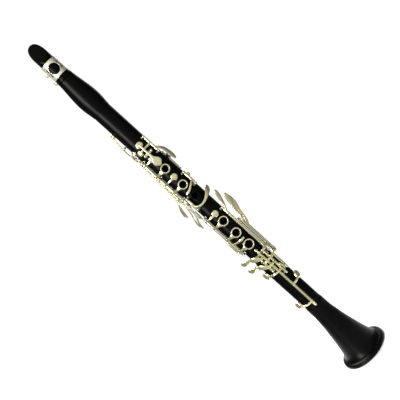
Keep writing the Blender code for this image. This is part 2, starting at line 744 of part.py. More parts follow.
def make_left_sliver_key():
    pieces = [cup(-88, 380, CLOSED, 9.0),
              strip([(-45, 20.2, 379, 3.0), (-64, 20.0, 379.5, 2.6), (-84, 18.2, 380, 3.2)]),
              strip([(-45, 20.4, 372, 3.0), (-30, 20.0, 369.6, 2.8), (-12, 18.4, 366, 3.0),
                     (4, 18.3, 363.8, 3.2), (22, 18.2, 362.6, 2.6)], 1.5)]
    long_key("left_sliver_key", LEFT_SLIVER_HINGE, pieces)
    long_pivot("left_sliver_pivot", LEFT_SLIVER_HINGE)


def make_c_sharp_key():
    pieces = [cup(90, 350, CLOSED, 9.4),
              strip([(38, 18.0, 352, 2.6), (62, 16.4, 352, 2.8), (76, 17.1, 351, 3.0),
                     (88, 17.6, 350.2, 3.2)], 1.4),
              strip([(38, 20.4, 343, 3.2), (24, 19.6, 339.2, 3.0), (4, 19.0, 337.8, 3.0),
                     (-16, 19.6, 339, 3.4), (-34, 21.4, 341.6, 5.5), (-48, 23.2, 344.8, 8.5),
                     (-59, 24.2, 347.6, 8.0), (-66, 24.4, 349.4, 4.0)], 1.7)]
    long_key("c_sharp_key", C_SHARP_HINGE, pieces)
    long_pivot("c_sharp_pivot", C_SHARP_HINGE)


def make_thumb_key():
    flat = RING_REST
    pieces = [ring(180, 400, flat, 6.8, 5.1),
              strip([(-130, HINGE + 1.2, 400, 4.0), (-146, 20.2, 400, 3.6),
                     (-160, flat + 0.9, 400, 6.0)]),
              cup(-104, 418, OPEN, 9.0),
              strip([(-130, HINGE + 1.2, 418, 3.0), (-108, 20.0, 418, 3.2)])]
    long_key("thumb_ring_key", THUMB_HINGE, pieces)
    long_pivot("thumb_ring_pivot", THUMB_HINGE)


# ---------------------------------------------------------------- lower-joint keys

RIGHT_RING_HINGE = (60, HINGE, 243.5, 316.5)
RIGHT_SLIVER_HINGE = (86, HINGE, 248, 266)
F_HINGE = (-20, HINGE, 181.5, 220.5)
F_SHARP_HINGE = (17, HINGE, 197.0, 214.5)
LONG_STACK = (0, HINGE, 116.0, 231.0)
A_FLAT_HINGE = (0, HINGE, 157.5, 231.0)
E_HINGE = (0, HINGE, 116.0, 157.2)
LEFT_F_HINGE = (-43, HINGE, 227.0, 309.0)
LEFT_F_LOW = (-43, HINGE, 186.0, 214.0)
LEFT_E_HINGE = (-62, 20.4, 227.5, 280.0)
LEFT_F_SHARP_HINGE = (-84, 20.4, 211.5, 270.5)
OVER = 22.6                   # bars that cross above the hinge tubes
UNDER = 16.6                  # bars that cross below them
LINK = 16.0                   # the long bar that runs below the stack's tubes
LOW_OPEN = SEAT + GAP + 3.0
TOUCH = 24.0


def make_right_ring_key():
    arm = HINGE + 1.2
    flat = RING_REST
    pieces = [cup(0, 314.4, OPEN, 10.0),
              strip([(60, arm, 314.4, 3.0), (34, 20.4, 314.4, 2.6), (8, 19.6, 314.4, 3.2)])]
    for height, outer in ((298.8, 7.5), (273.8, 7.5), (248.7, 7.9)):
        pieces.append(ring(0, height, flat, outer, outer - 1.7))
        pieces.append(strip([(60, arm, height, 4.0), (42, 20.2, height, 3.4),
                             (21, flat + 1.0, height, 7.0)]))
    pieces.append(strip([(60, arm, 307, 3.6), (72, 19.4, 312, 3.0), (76, 18.6, 320, 3.0),
                         (71, 18.2, 328, 3.2), (70, 18.2, 336, 3.6)]))
    long_key("right_ring_key", RIGHT_RING_HINGE, pieces)
    long_pivot("right_ring_pivot", RIGHT_RING_HINGE)


def make_right_sliver_key():
    pieces = [strip([(86, 18.6, 261.3, 3.0), (70, UNDER - 0.3, 261.2, 3.0),
                     (50, UNDER - 0.3, 261.0, 3.0), (30, 17.4, 260.8, 3.2), (8, 18.8, 260.6, 3.6),
                     (-8, 18.8, 260.6, 3.0)], 1.3),
              strip([(86, 20.8, 254, 3.0), (102, 20.6, 257, 2.8), (116, 18.4, 261.4, 3.2)]),
              cup(118, 262, CLOSED, 8.4)]
    long_key("right_sliver_key", RIGHT_SLIVER_HINGE, pieces)
    long_pivot("right_sliver_pivot", RIGHT_SLIVER_HINGE)


def make_little_finger_keys():
    pad = 13.0
    a_flat = [cup(-60, 161.4, CLOSED, pad, 4.2),
              strip([(0, 20.6, 159.5, 3.4), (-20, 20.6, 159.6, 3.0),
                     (-54, CLOSED + 3.8, 161, 3.6)]),
              strip([(0, 20.6, 219, 3.2), (10, OVER + 0.6, 221, 3.6), (24, TOUCH, 225.5, 8.0),
                     (37, TOUCH, 228, 8.0), (44, TOUCH - 0.2, 229.3, 4.5)])]
    long_key("a_flat_key", A_FLAT_HINGE, a_flat)

    f_sharp = [cup(74, 211, OPEN, 9.6),
               strip([(17, 19.0, 207, 3.2), (34, 18.6, 208.4, 3.2), (50, 19.4, 210, 3.4),
                      (68, OPEN + 2.4, 211, 3.6)]),
               strip([(50, 19.4, 210.4, 3.0), (58, 21.4, 211.8, 4.0), (65, TOUCH + 0.6, 213.2, 6.5),
                      (72, TOUCH + 3.0, 214.2, 8.0), (80, TOUCH + 5.2, 215, 7.5),
                      (84, TOUCH + 6.2, 215.4, 4.5)]),
               strip([(17, 20.6, 212, 2.8), (11, 24.6, 212.6, 3.0), (-6, 25.6, 213.2, 3.0),
                      (-26, 25.6, 213.4, 4.0)], 1.2)]
    long_key("f_sharp_key", F_SHARP_HINGE, f_sharp)
    long_pivot("f_sharp_pivot", F_SHARP_HINGE)

    f_key = [cup(62, 193.5, LOW_OPEN, pad, 4.2),
             strip([(-20, 20.6, 190, 3.2), (-9, OVER + 0.8, 190, 2.8), (8, OVER + 1.2, 190, 2.8),
                    (24, OVER + 0.8, 190.6, 2.8), (42, 21.6, 191.8, 3.0),
                    (57, LOW_OPEN + 3.6, 193, 3.6)]),
             strip([(-20, 20.4, 197, 2.8), (-21, 24.4, 196.0, 2.8), (-24, 25.4, 192, 3.2),
                    (-26, 25.4, 188.6, 4.0)], 1.2),
             strip([(-20, 20.6, 204, 3.2), (-8, OVER + 1.0, 204.6, 3.2), (8, OVER + 1.6, 204.8, 3.4),
                    (22, TOUCH + 0.4, 207.6, 6.4), (36, TOUCH, 211.6, 8.0),
                    (43, TOUCH - 0.2, 213.6, 4.5)])]
    long_key("f_key", F_HINGE, f_key)
    long_pivot("f_pivot", F_HINGE)

    e_key = [cup(62, 126, LOW_OPEN, pad, 4.2),
             strip([(0, 20.6, 121.4, 3.2), (24, 21.4, 121.6, 3.0),
                    (56, LOW_OPEN + 3.6, 125, 3.6)]),
             strip([(0, 17.1, 140, 2.4), (0, 17.1, 150, 2.4), (0, LINK, 156.2, 2.4),
                    (0, LINK, 226, 2.4)], 1.2, 1),
             strip([(0, LINK, 224.4, 3.0), (18, 16.8, 225.4, 3.0), (38, 17.8, 226.6, 3.2),
                    (54, 19.4, 227.6, 4.0), (64, TOUCH - 1.2, 228.4, 6.5),
                    (72, TOUCH + 2.2, 229.2, 8.0), (80, TOUCH + 4.8, 229.8, 7.5),
                    (84, TOUCH + 6.0, 230, 4.5)]),
             strip([(0, LINK, 226, 3.4), (-9, 17.4, 227.4, 3.2), (-12, 21.0, 228.4, 3.2),
                    (-13, 24.8, 228.6, 3.6), (-20, 25.6, 228.8, 3.4),
                    (-29, 25.6, 228.8, 4.0)], 1.2)]
    long_key("e_key", E_HINGE, e_key)
    long_pivot("long_stack_pivot", LONG_STACK)


def make_left_levers():
    e_lever = [strip([(-62, 21.6, 230, 3.2), (-50, 23.6, 229.6, 2.8), (-36, 23.4, 229, 2.6),
                      (-24, 23.2, 228.8, 3.0)], 1.4),
               strip([(-62, 21.6, 274, 3.4), (-67, 24.6, 282.5, 3.0), (-71, 25.6, 296, 3.6),
                      (-75, 28.6, 306, 6.5), (-77, 30.4, 315, 8.0), (-78, 31.0, 322, 4.5)], 1.8,
                     face=-25)]
    long_key("left_e_lever", LEFT_E_HINGE, e_lever)
    long_pivot("left_e_pivot", LEFT_E_HINGE)

    # This lever's tube is in two lengths, joined by a bar that passes the post between them
    bypass = [(-43, 20.6, 230, 3.0), (-50, 21.6, 226, 2.8), (-53, 21.8, 220.5, 2.8),
              (-50, 21.6, 215, 2.8), (-43, 20.6, 211, 3.0)]
    f_lever = [tube(LEFT_F_HINGE), tube(LEFT_F_LOW), strip(bypass, 1.6),
               strip([(-43, 20.8, 189.6, 3.2), (-36, 22.8, 189.8, 2.8), (-24, OVER + 0.8, 190, 3.0)],
                     1.2),
               strip([(-43, 20.6, 305, 3.2), (-49, 23.2, 311.5, 3.2), (-62, 23.6, 321, 6.0),
                      (-66, 25.2, 329, 6.8), (-69, 26.4, 336, 4.0)], 1.7,
                     face=-30)]
    middle = (LEFT_F_LOW[2] + LEFT_F_HINGE[3]) / 2
    build_part("left_f_lever", "plate", f_lever, [tube_bore(LEFT_F_HINGE), tube_bore(LEFT_F_LOW)],
               place(LEFT_F_HINGE[0], HINGE, middle))
    joined = (LEFT_F_HINGE[0], HINGE, LEFT_F_LOW[2], LEFT_F_HINGE[3])
    long_pivot("left_f_pivot", joined, [(LEFT_F_LOW[3] + LEFT_F_HINGE[2]) / 2])

    f_sharp_lever = [strip([(-84, 21.6, 215, 3.2), (-66, 24.0, 214.4, 2.8), (-48, 24.2, 213.6, 2.6),
                            (-34, 23.4, 213.4, 2.6), (-21, 23.2, 213.4, 3.0)], 1.4),
                     strip([(-84, 21.8, 266, 3.4), (-90, 25.0, 273, 3.2), (-95, 27.4, 287, 4.6),
                            (-96, 30.0, 300, 8.6), (-95, 30.8, 311, 8.2), (-94, 31.0, 317, 4.0)],
                           1.8, face=-20)]
    long_key("left_f_sharp_lever", LEFT_F_SHARP_HINGE, f_sharp_lever)
    long_pivot("left_f_sharp_pivot", LEFT_F_SHARP_HINGE)


make_bell()
make_lower_joint()
make_upper_joint()
make_barrel()
make_corks()
make_mouthpiece()
make_reed()
make_ligature()
make_thumb_rest()
make_register_key()
make_a_key()
make_g_sharp_key()
make_side_keys()
make_ring_keys()
make_left_sliver_key()
make_c_sharp_key()
make_thumb_key()
make_right_ring_key()
make_right_sliver_key()
make_little_finger_keys()
make_left_levers()
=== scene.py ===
"""Looks for the clarinet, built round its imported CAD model.

Places on the keywork are cylinder coordinates: an angle round the body in degrees (0 at the front,
positive towards -X), a distance from the body's axis and a height, both in millimetres. A piece is
a list of shells, each (points in millimetres, faces, look), joined into one mesh.
"""
import json
import math

import bmesh
import bpy
from mathutils import Matrix, Vector


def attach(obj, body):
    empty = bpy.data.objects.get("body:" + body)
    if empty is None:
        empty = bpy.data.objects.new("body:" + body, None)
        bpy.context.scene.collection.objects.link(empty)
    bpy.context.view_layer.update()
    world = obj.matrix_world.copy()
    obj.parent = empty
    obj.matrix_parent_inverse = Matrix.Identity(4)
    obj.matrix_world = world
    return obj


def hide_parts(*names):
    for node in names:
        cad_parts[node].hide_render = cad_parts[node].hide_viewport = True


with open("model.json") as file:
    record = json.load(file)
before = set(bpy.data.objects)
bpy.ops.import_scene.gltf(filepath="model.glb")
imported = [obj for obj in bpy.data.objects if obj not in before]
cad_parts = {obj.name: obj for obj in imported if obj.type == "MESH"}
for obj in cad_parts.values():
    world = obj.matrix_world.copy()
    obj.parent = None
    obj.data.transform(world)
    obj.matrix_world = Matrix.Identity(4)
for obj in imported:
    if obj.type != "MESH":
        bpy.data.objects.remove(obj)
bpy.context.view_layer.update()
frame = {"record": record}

MM = 0.001
GAP = 0.3                     # air between pieces that touch

# Body: lengths of what shows of each section, from the bell up
BELL_LENGTH = 105.0
LOWER_LENGTH = 229.0
UPPER_LENGTH = 194.0
BARREL_LENGTH = 64.0
MOUTHPIECE_LENGTH = 68.0
LOWER_BASE = BELL_LENGTH
UPPER_BASE = LOWER_BASE + LOWER_LENGTH
BARREL_BASE = UPPER_BASE + UPPER_LENGTH
MOUTHPIECE_BASE = BARREL_BASE + BARREL_LENGTH
TIP = MOUTHPIECE_BASE + MOUTHPIECE_LENGTH

BODY = 14.6                   # outer radius of both joints
BORE = 7.4
RIM = 39.0                    # bell's widest radius
TENON = 11.4
TENON_GROOVE = 10.4           # under the cork
CORK = 11.5
SOCKET = 11.9
TENON_LENGTH = 16.0
MIDDLE_TENON_LENGTH = 13.0
LOW_TENON_LENGTH = 20.0

# Mouthpiece and ligature
SHANK = 13.1                  # mouthpiece radius next to the barrel
BLANK = 11.35                 # mouthpiece radius under the ligature
TABLE = 9.4                   # distance from the axis to the flat that the reed lies on
LIGATURE_LOW = 600.4
LIGATURE_HIGH = 625.4
LIGATURE_INNER = 12.3
LIGATURE_WALL = 0.6
LIGATURE_SHIFT = 0.7          # the band's centre lies towards the reed
LIGATURE_WINDOW = 8.0
LIGATURE_SCREWS = (618.4, 602.4)
SCREW_Y = 17.2

# Keywork
HINGE = 19.4                  # usual distance of a hinge from the body's axis
TUBE = 2.1                    # outer radius of a hinge tube
ROD = 0.9                     # steel rod inside the tube
POST_BALL = 2.2
POST_STEM = 1.4
SEAT = BODY + 0.6             # flat seat round a tone hole
CLOSED = SEAT + GAP           # underside of a pad that rests closed
OPEN = SEAT + GAP + 1.5       # underside of a pad that rests open
CHIMNEY = BODY + 2.5          # rim of a finger hole that a ring surrounds
RING_REST = CHIMNEY + 2.4     # middle of a ring at rest
CUP_DEPTH = 3.0
RING_HEIGHT = 1.8
RING_ARM = HINGE + 1.2        # middle of a ring key's arm where it leaves the hinge
END_REACH = 0.16              # how far a bar's rounded end runs on, as a share of its width
SMOOTH_BELOW = 42             # degrees between faces past which an edge stays sharp


# -------- looks

BODY_OF = {node: body for body, nodes in
           frame["record"]["behaviour"]["bodies"].items() for node in nodes}


def grain(nodes, links, source, scale, stretch, detail=6.0):
    """A noise pattern, stretched along the body by a value below 1."""
    mapping = nodes.new("ShaderNodeMapping")
    mapping.inputs["Scale"].default_value = (scale, scale, scale * stretch)
    noise = nodes.new("ShaderNodeTexNoise")
    noise.inputs["Scale"].default_value = 1.0
    noise.inputs["Detail"].default_value = detail
    links.new(source.outputs["Object"], mapping.inputs["Vector"])
    links.new(mapping.outputs["Vector"], noise.inputs["Vector"])
    return noise.outputs["Fac"]


def ramp(nodes, links, value, stops):
    """Colours or greys laid along a value: stops are (position, colour)."""
    node = nodes.new("ShaderNodeValToRGB")
    node.color_ramp.elements[0].position = stops[0][0]
    node.color_ramp.elements[-1].position = stops[-1][0]
    for position, _ in stops[1:-1]:
        node.color_ramp.elements.new(position)
    for element, (_, colour) in zip(node.color_ramp.elements, stops):
        element.color = (*colour, 1.0)
    links.new(value, node.inputs["Fac"])
    return node.outputs["Color"]


def grey(value):
    return (value, value, value)


def make_look(name, metallic, specular, colours, roughness, bumps, scale=900.0, stretch=1.0):
    """A procedural material: colour from one pattern, roughness and relief from finer ones.

    The colours are (position, colour) stops; the roughness runs between a low and a high value.
    """
    material = bpy.data.materials.new(name)
    material.use_nodes = True
    nodes = material.node_tree.nodes
    links = material.node_tree.links
    shader = nodes["Principled BSDF"]
    shader.inputs["Metallic"].default_value = metallic
    shader.inputs["Specular IOR Level"].default_value = specular
    source = nodes.new("ShaderNodeTexCoord")
    broad = grain(nodes, links, source, scale, stretch)
    links.new(ramp(nodes, links, broad, colours), shader.inputs["Base Color"])
    fine = grain(nodes, links, source, scale * 2.7, stretch, 3.0)
    stops = [(0.3, grey(roughness[0])), (0.7, grey(roughness[1]))]
    links.new(ramp(nodes, links, fine, stops), shader.inputs["Roughness"])
    normal = None
    for bump_scale, bump_stretch, strength, depth in bumps:
        bump = nodes.new("ShaderNodeBump")
        bump.inputs["Strength"].default_value = strength
        bump.inputs["Distance"].default_value = depth
        links.new(grain(nodes, links, source, bump_scale, bump_stretch), bump.inputs["Height"])
        if normal is not None:
            links.new(normal, bump.inputs["Normal"])
        normal = bump.outputs["Normal"]
    links.new(normal, shader.inputs["Normal"])
    return material


# Metallic, specular, colour stops, low and high roughness, bumps, then scale and stretch
LOOKS = {
    # Dark resin, polished, with a faint grain along the body
    "body": (0.0, 0.09, [(0.3, (0.0002, 0.0003, 0.0003)), (0.7, (0.0007, 0.0008, 0.0007))],
             (0.27, 0.35), [(2600.0, 0.05, 0.10, 0.00003), (240.0, 0.4, 0.05, 0.0002)], 700.0,
             0.08),
    "bore": (0.0, 0.2, [(0.3, (0.0014, 0.0014, 0.0014)), (0.7, (0.003, 0.003, 0.003))], (0.4, 0.5),
             [(1800.0, 0.1, 0.1, 0.00003)]),
    "ebonite": (0.0, 0.06, [(0.3, (0.0004, 0.0004, 0.0004)), (0.7, (0.0014, 0.0012, 0.0010))],
                (0.24, 0.36), [(1500.0, 1.0, 0.06, 0.00003)], 500.0),
    "silver": (0.90, 0.5,
               [(0.25, (0.82, 0.77, 0.43)), (0.5, (0.90, 0.86, 0.54)), (0.75, (0.95, 0.92, 0.66))],
               (0.10, 0.19), [(3200.0, 1.0, 0.05, 0.00002), (420.0, 1.0, 0.025, 0.0001)], 380.0),
    "ligature": (0.7, 0.5,
                 [(0.25, (0.86, 0.83, 0.62)), (0.5, (0.92, 0.90, 0.72)), (0.75, (0.95, 0.94, 0.82))],
                 (0.14, 0.27), [(2400.0, 0.1, 0.06, 0.00002), (300.0, 1.0, 0.025, 0.0001)], 420.0),
    "steel": (1.0, 0.5, [(0.3, (0.58, 0.56, 0.42)), (0.7, (0.78, 0.75, 0.58))], (0.20, 0.34),
              [(3600.0, 0.3, 0.12, 0.00002)], 800.0),
    "pad": (0.0, 0.35,
            [(0.25, (0.50, 0.42, 0.28)), (0.5, (0.66, 0.58, 0.42)), (0.75, (0.76, 0.70, 0.56))],
            (0.45, 0.65), [(1400.0, 1.0, 0.35, 0.00006)]),
    "cork": (0.0, 0.2,
             [(0.32, (0.16, 0.085, 0.035)), (0.45, (0.42, 0.27, 0.13)), (0.68, (0.60, 0.42, 0.23))],
             (0.75, 0.92), [(1900.0, 1.0, 0.5, 0.0002)], 1500.0),
    "cane": (0.0, 0.3,
             [(0.25, (0.46, 0.34, 0.14)), (0.5, (0.66, 0.52, 0.26)), (0.75, (0.78, 0.66, 0.40))],
             (0.42, 0.6), [(5200.0, 0.02, 0.35, 0.00005)], 2600.0, 0.02),
}
MATERIALS = {look: make_look("look_" + look, *values) for look, values in LOOKS.items()}


# -------- places

def outward(angle):
    turn = math.radians(angle)
    return Vector((-math.sin(turn), -math.cos(turn), 0.0))


def place(angle, distance, height):
    """Cylinder coordinates to a point, both in millimetres."""
    point = outward(angle) * distance
    point.z = height
    return point


def beside(angle, distance, offset):
    """Angle and distance of a point moved sideways, along the tangent, by offset."""
    return angle + math.degrees(math.atan2(offset, distance)), math.hypot(distance, offset)


def smooth_path(points, steps):
    """Catmull-Rom points through the given ones, which are tuples of any length."""
    padded = [points[0], *points, points[-1]]
    path = []
    for index in range(1, len(padded) - 2):
        before, start, end, after = padded[index - 1:index + 3]
        for step in range(steps):
            t = step / steps
            path.append(tuple(
                0.5 * (2 * b + (c - a) * t + (2 * a - 5 * b + 4 * c - d) * t * t
                       + (3 * b - a - 3 * c + d) * t ** 3)
                for a, b, c, d in zip(before, start, end, after)))
    path.append(tuple(points[-1]))
    return path


# -------- shells

def circle(count):
    """Angles of count steps round a full turn."""
    return [math.tau * step / count for step in range(count)]


def squared(value, power):
    """A sine or cosine pushed towards its limits, for a section with fuller corners."""
    return math.copysign(abs(value) ** power, value)


def skin(loops, look, ends=True):
    """A shell through loops of points; each loop has the same number of points."""
    count = len(loops[0])
    points = [point for loop in loops for point in loop]
    faces = []
    for row in range(len(loops) - 1):
        for step in range(count):
            beyond = (step + 1) % count
            low = row * count
            high = low + count
            faces.append((low + step, low + beyond, high + beyond, high + step))
    if ends:
        faces.append(tuple(reversed(range(count))))
        faces.append(tuple(range((len(loops) - 1) * count, len(loops) * count)))
    return points, faces, look


def turned(profile, look, origin=(0, 0, 0), direction=(0, 0, 1), sides=96, ends=False):
    """A shell spun round an axis from a profile of (radius, height along the axis)."""
    turn = Vector(direction).to_track_quat("Z", "Y").to_matrix()
    origin = Vector(origin)
    loops = []
    for radius, height in profile:
        spokes = [(radius * math.cos(angle), radius * math.sin(angle)) for angle in circle(sides)]
        loops.append([origin + turn @ Vector((*spoke, height)) for spoke in spokes])
    return skin(loops, look, ends)


def rounded(profile, edge, steps=4):
    """The profile with each corner replaced by a small curve of about that size."""
    path = [profile[0]]
    for before, corner, after in zip(profile, profile[1:], profile[2:]):
        corner = Vector(corner)
        reach_in = Vector(before) - corner
        reach_out = Vector(after) - corner
        size = min(edge, reach_in.length * 0.45, reach_out.length * 0.45)
        start = corner + reach_in.normalized() * size
        end = corner + reach_out.normalized() * size
        for step in range(steps + 1):
            t = step / steps
            path.append(tuple(start.lerp(corner, t).lerp(corner.lerp(end, t), t)))
    path.append(profile[-1])
    return path


def rod_shell(start, end, radius, look, sides=28, edge=0.25):
    """A rod with softened ends."""
    length = (end - start).length
    profile = rounded([(0.01, 0), (radius, 0), (radius, length), (0.01, length)], edge)
    return turned(profile, look, start, end - start, sides, True)


def strip(points, thickness=1.6, steps=2, face=None):
    """A forged bar through points (angle, distance, height, width) with a domed outer face.

    It faces outward, or to the side of the body that the angle in face gives.
    """
    path = smooth_path(points, 4 + steps)
    places = [place(angle, distance, height) for angle, distance, height, _ in path]
    loops = []
    last = len(path) - 1
    for index, (angle, _, _, width) in enumerate(path):
        along = (places[min(index + 1, last)] - places[max(index - 1, 0)]).normalized()
        up = outward(angle if face is None else face)
        up = (up - along * up.dot(along)).normalized()
        side = along.cross(up)
        section = []
        for turn in circle(20):
            across = squared(math.cos(turn), 0.75)
            rise = squared(math.sin(turn), 0.62)
            section.append((side * (across * width / 2), up * (rise * thickness / 2)))
        here = [places[index] + across + rise for across, rise in section]
        if index in (0, last):
            outer = along * (-1 if index == 0 else 1)
            caps = []
            for shrink, push in ((0.86, 0.55), (0.55, 0.88), (0.2, 1.0)):
                centre = places[index] + outer * (push * min(width, 6.0) * END_REACH)
                caps.append([centre + (across + rise) * shrink for across, rise in section])
            loops += [*reversed(caps), here] if index == 0 else [here, *caps]
        else:
            loops.append(here)
    return skin(loops, "silver")


def cup(angle, height, underside, diameter, depth=CUP_DEPTH):
    """A pad cup: a low dome with a turned rim, and the pad held inside it."""
    tall = depth / CUP_DEPTH
    radius = diameter / 2
    direction = outward(angle)
    centre = place(angle, underside, height)
    dome = [(radius - 0.5, 0.5), (radius - 0.12, 0.5), (radius, 0.62), (radius, 1.55 * tall),
            (radius * 0.985, 1.75 * tall), (radius * 0.95, 1.95 * tall),
            (radius * 0.88, 2.2 * tall), (radius * 0.77, 2.44 * tall),
            (radius * 0.64, 2.62 * tall), (radius * 0.48, 2.76 * tall),
            (radius * 0.32, 2.84 * tall), (radius * 0.16, 2.88 * tall), (0.01, 2.9 * tall)]
    pad = rounded([(0.01, 0.04), (radius * 0.45, 0.08), (radius * 0.62, 0.0), (radius - 0.55, 0.0),
                   (radius - 0.3, 0.3), (radius - 0.3, 0.9)], 0.25)
    return [turned(dome, "silver", centre, direction, 44, True),
            turned(pad, "pad", centre, direction, 44)]


def ring(angle, height, distance, outer, inner):
    """A finger ring: a flat band with softened edges."""
    half = RING_HEIGHT / 2 - 0.02
    profile = rounded([(inner, 0), (inner, half), (outer, half), (outer, -half), (inner, -half),
                       (inner, 0)], 0.45)
    return turned(profile, "silver", place(angle, distance, height), outward(angle), 56)


def tube(hinge):
    angle, distance, low, high = hinge
    return rod_shell(place(angle, distance, low), place(angle, distance, high), TUBE, "silver")


def post(angle, distance, height):
    """A ball-headed post on its small foot."""
    base = BODY + GAP
    centre = distance - base
    ball = POST_BALL * 0.96
    profile = [(0.01, 0.02), (POST_STEM * 1.4, 0.02), (POST_STEM * 1.4, 0.5), (POST_STEM * 0.95, 0.9)]
    for turn in range(-50, 90, 14):
        rise = math.radians(turn)
        profile.append((ball * math.cos(rise), centre + ball * math.sin(rise)))
    profile.append((0.01, centre + ball))
    return turned(profile, "steel", place(angle, base, height), outward(angle), 28, True)


def hub_ends(hub, offset=0.0):
    """Both ends of a hub that runs across the body: (angle, distance, height, length).

    Its middle is moved along its own line by offset.
    """
    angle, distance, height, length = hub
    across = outward(angle + 90)
    centre = place(angle, distance, height) + across * offset
    return centre - across * (length / 2), centre + across * (length / 2)


def trill_offset(distance):
    """How far along its rod a trill lever is from the saddle."""
    return distance * math.sin(math.radians(TRILL_SPREAD))


# -------- pieces

def flat_list(pieces):
    """The shells of pieces, where a piece is one shell or a list of them."""
    shells = []
    for piece in pieces:
        shells += piece if isinstance(piece, list) else [piece]
    return shells


def make_mesh(name, shells):
    points = []
    faces = []
    looks = []
    for shell_points, shell_faces, look in shells:
        first = len(points)
        points += [tuple(Vector(point) * MM) for point in shell_points]
        faces += [tuple(first + corner for corner in face) for face in shell_faces]
        looks += [look] * len(shell_faces)
    mesh = bpy.data.meshes.new(name)
    mesh.from_pydata(points, [], faces)
    used = sorted(set(looks))
    for look in used:
        mesh.materials.append(MATERIALS[look])
    for face, look in zip(mesh.polygons, looks):
        face.material_index = used.index(look)
    soft = bmesh.new()
    soft.from_mesh(mesh)
    bmesh.ops.recalc_face_normals(soft, faces=soft.faces)
    soft.to_mesh(mesh)
    soft.free()
    mesh.shade_smooth()
    mesh.set_sharp_from_angle(angle=math.radians(SMOOTH_BELOW))
    item = bpy.data.objects.new(name, mesh)
    bpy.context.scene.collection.objects.link(item)
    return item


def ride_as(item, node):
    """item stands for the CAD node and moves with the node's body."""
    bpy.context.view_layer.update()
    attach(item, BODY_OF[node])
    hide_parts(node)


def build_piece(node, pieces):
    """The visual piece of a CAD node; its pads become a piece of their own."""
    shells = flat_list(pieces)
    pads = [shell for shell in shells if shell[2] == "pad"]
    rest = [shell for shell in shells if shell[2] != "pad"]
    ride_as(make_mesh(node + "_look", rest), node)
    if pads:
        item = make_mesh(node + "_pads", pads)
        bpy.context.view_layer.update()
        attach(item, BODY_OF[node])


def long_key(name, hinge, pieces):
    build_piece(name, [tube(hinge), *pieces])


def cross_key(name, hub, pieces, offset=0.0):
    build_piece(name, [rod_shell(*hub_ends(hub, offset), TUBE, "silver"), *pieces])


def pivot(name, heads):
    """A steel rod through the ball heads of its posts, given as (angle, distance, height)."""
    start = place(*heads[0])
    end = place(*heads[-1])
    reach = (end - start).normalized() * 2.05
    rod = rod_shell(start - reach, end + reach, ROD, "steel", edge=0.15)
    build_piece(name, [rod, *[post(*head) for head in heads]])


def saddle_pivot(name, angle, distance, height):
    """One post with a rod through its head that carries a lever at each side."""
    length = 2 * (trill_offset(distance) + TRILL_HUB_LENGTH / 2 + 0.5)
    rod = rod_shell(*hub_ends((angle, distance, height, length)), ROD, "steel")
    build_piece(name, [rod, post(angle, distance, height)])


def long_pivot(name, hinge, middles=()):
    """Posts just beyond both ends of a hinge, and at the heights in middles."""
    angle, distance, low, high = hinge
    reach = POST_BALL + GAP
    heights = (low - reach, *middles, high + reach)
    pivot(name, [(angle, distance, height) for height in heights])


def hinged(stem, kind, hinge, pieces):
    """A key or lever and the pivot that it alone turns on."""
    long_key(stem + kind, hinge, pieces)
    long_pivot(stem + "_pivot", hinge)


def cross_pivot(name, hub):
    angle, distance, height, length = hub
    reach = length / 2 + POST_BALL + GAP
    pivot(name, [(*beside(angle, distance, offset), height) for offset in (-reach, reach)])


# -------- body sections
# Tone holes: (angle, height, hole radius, seat radius, seat distance)

UPPER_HOLES = [
    (0, 458, 2.4, 4.0, SEAT), (29, 449, 2.4, 3.6, SEAT), (58, 455, 2.2, 3.6, SEAT),
    (78, 443.5, 2.2, 3.6, SEAT), (10, 431.8, 2.4, 4.0, SEAT), (0, 392.9, 2.4, 4.0, SEAT),
    (76, 493, 1.6, 3.4, SEAT), (-88, 380, 2.6, 4.0, SEAT), (90, 350, 2.8, 4.0, SEAT),
    (123, 404, 2.6, 3.6, SEAT), (139, 392, 2.6, 3.6, SEAT), (-104, 418, 2.4, 3.8, SEAT),
    (0, 409.9, 3.6, 4.6, CHIMNEY), (0, 376.7, 3.8, 4.7, CHIMNEY), (0, 353, 4.0, 5.4, SEAT),
    (180, 400, 3.6, 4.6, CHIMNEY),
]
LOWER_HOLES = [
    (0, 314.4, 2.6, 4.0, SEAT), (74, 211, 3.6, 4.6, SEAT), (0, 298.8, 4.0, 5.0, CHIMNEY),
    (0, 273.8, 4.0, 5.0, CHIMNEY), (0, 248.7, 4.2, 5.2, CHIMNEY), (118, 262, 2.6, 3.8, SEAT),
    (62, 193.5, 4.0, 4.9, SEAT), (-60, 161.4, 4.0, 4.9, SEAT), (62, 126, 4.0, 4.9, SEAT),
]


def seat_shells(holes):
    """Raised seats with their tone holes, each a ring with a dark well inside."""
    shells = []
    for angle, height, hole, seat, top in holes:
        direction = outward(angle)
        base = Vector((0, 0, height))
        lip = rounded([(seat + 0.9, BODY - 2.6), (seat + 0.15, BODY - 0.35), (seat, top - 0.25),
                       (seat - 0.15, top - 0.02), (hole + 0.2, top - 0.02), (hole, top - 0.3),
                       (hole, BODY - 2.4)], 0.3)
        shells.append(turned(lip, "body", base, direction, 40))
    return shells


def cut_holes(item, holes):
    """Opens the tone holes through the wall."""
    cutters = [turned([(hole, BORE - 3), (hole, BODY + 3)], "bore", (0, 0, height), outward(angle),
                      40, True) for angle, height, hole, _, _ in holes]
    cut(item, make_mesh("cutters", cutters))


def joint_piece(node, profile, holes):
    """A joint of the body with its seats and open tone holes."""
    loop = rounded([profile[-1], *profile, profile[0]], 0.3)[1:-1]
    wall = make_mesh(node + "_wall", [ring_of(loop, "body")])
    cut_holes(wall, holes)
    seats = make_mesh(node + "_seats", seat_shells(holes))
    ride_as(joined(node + "_look", [wall, seats]), node)


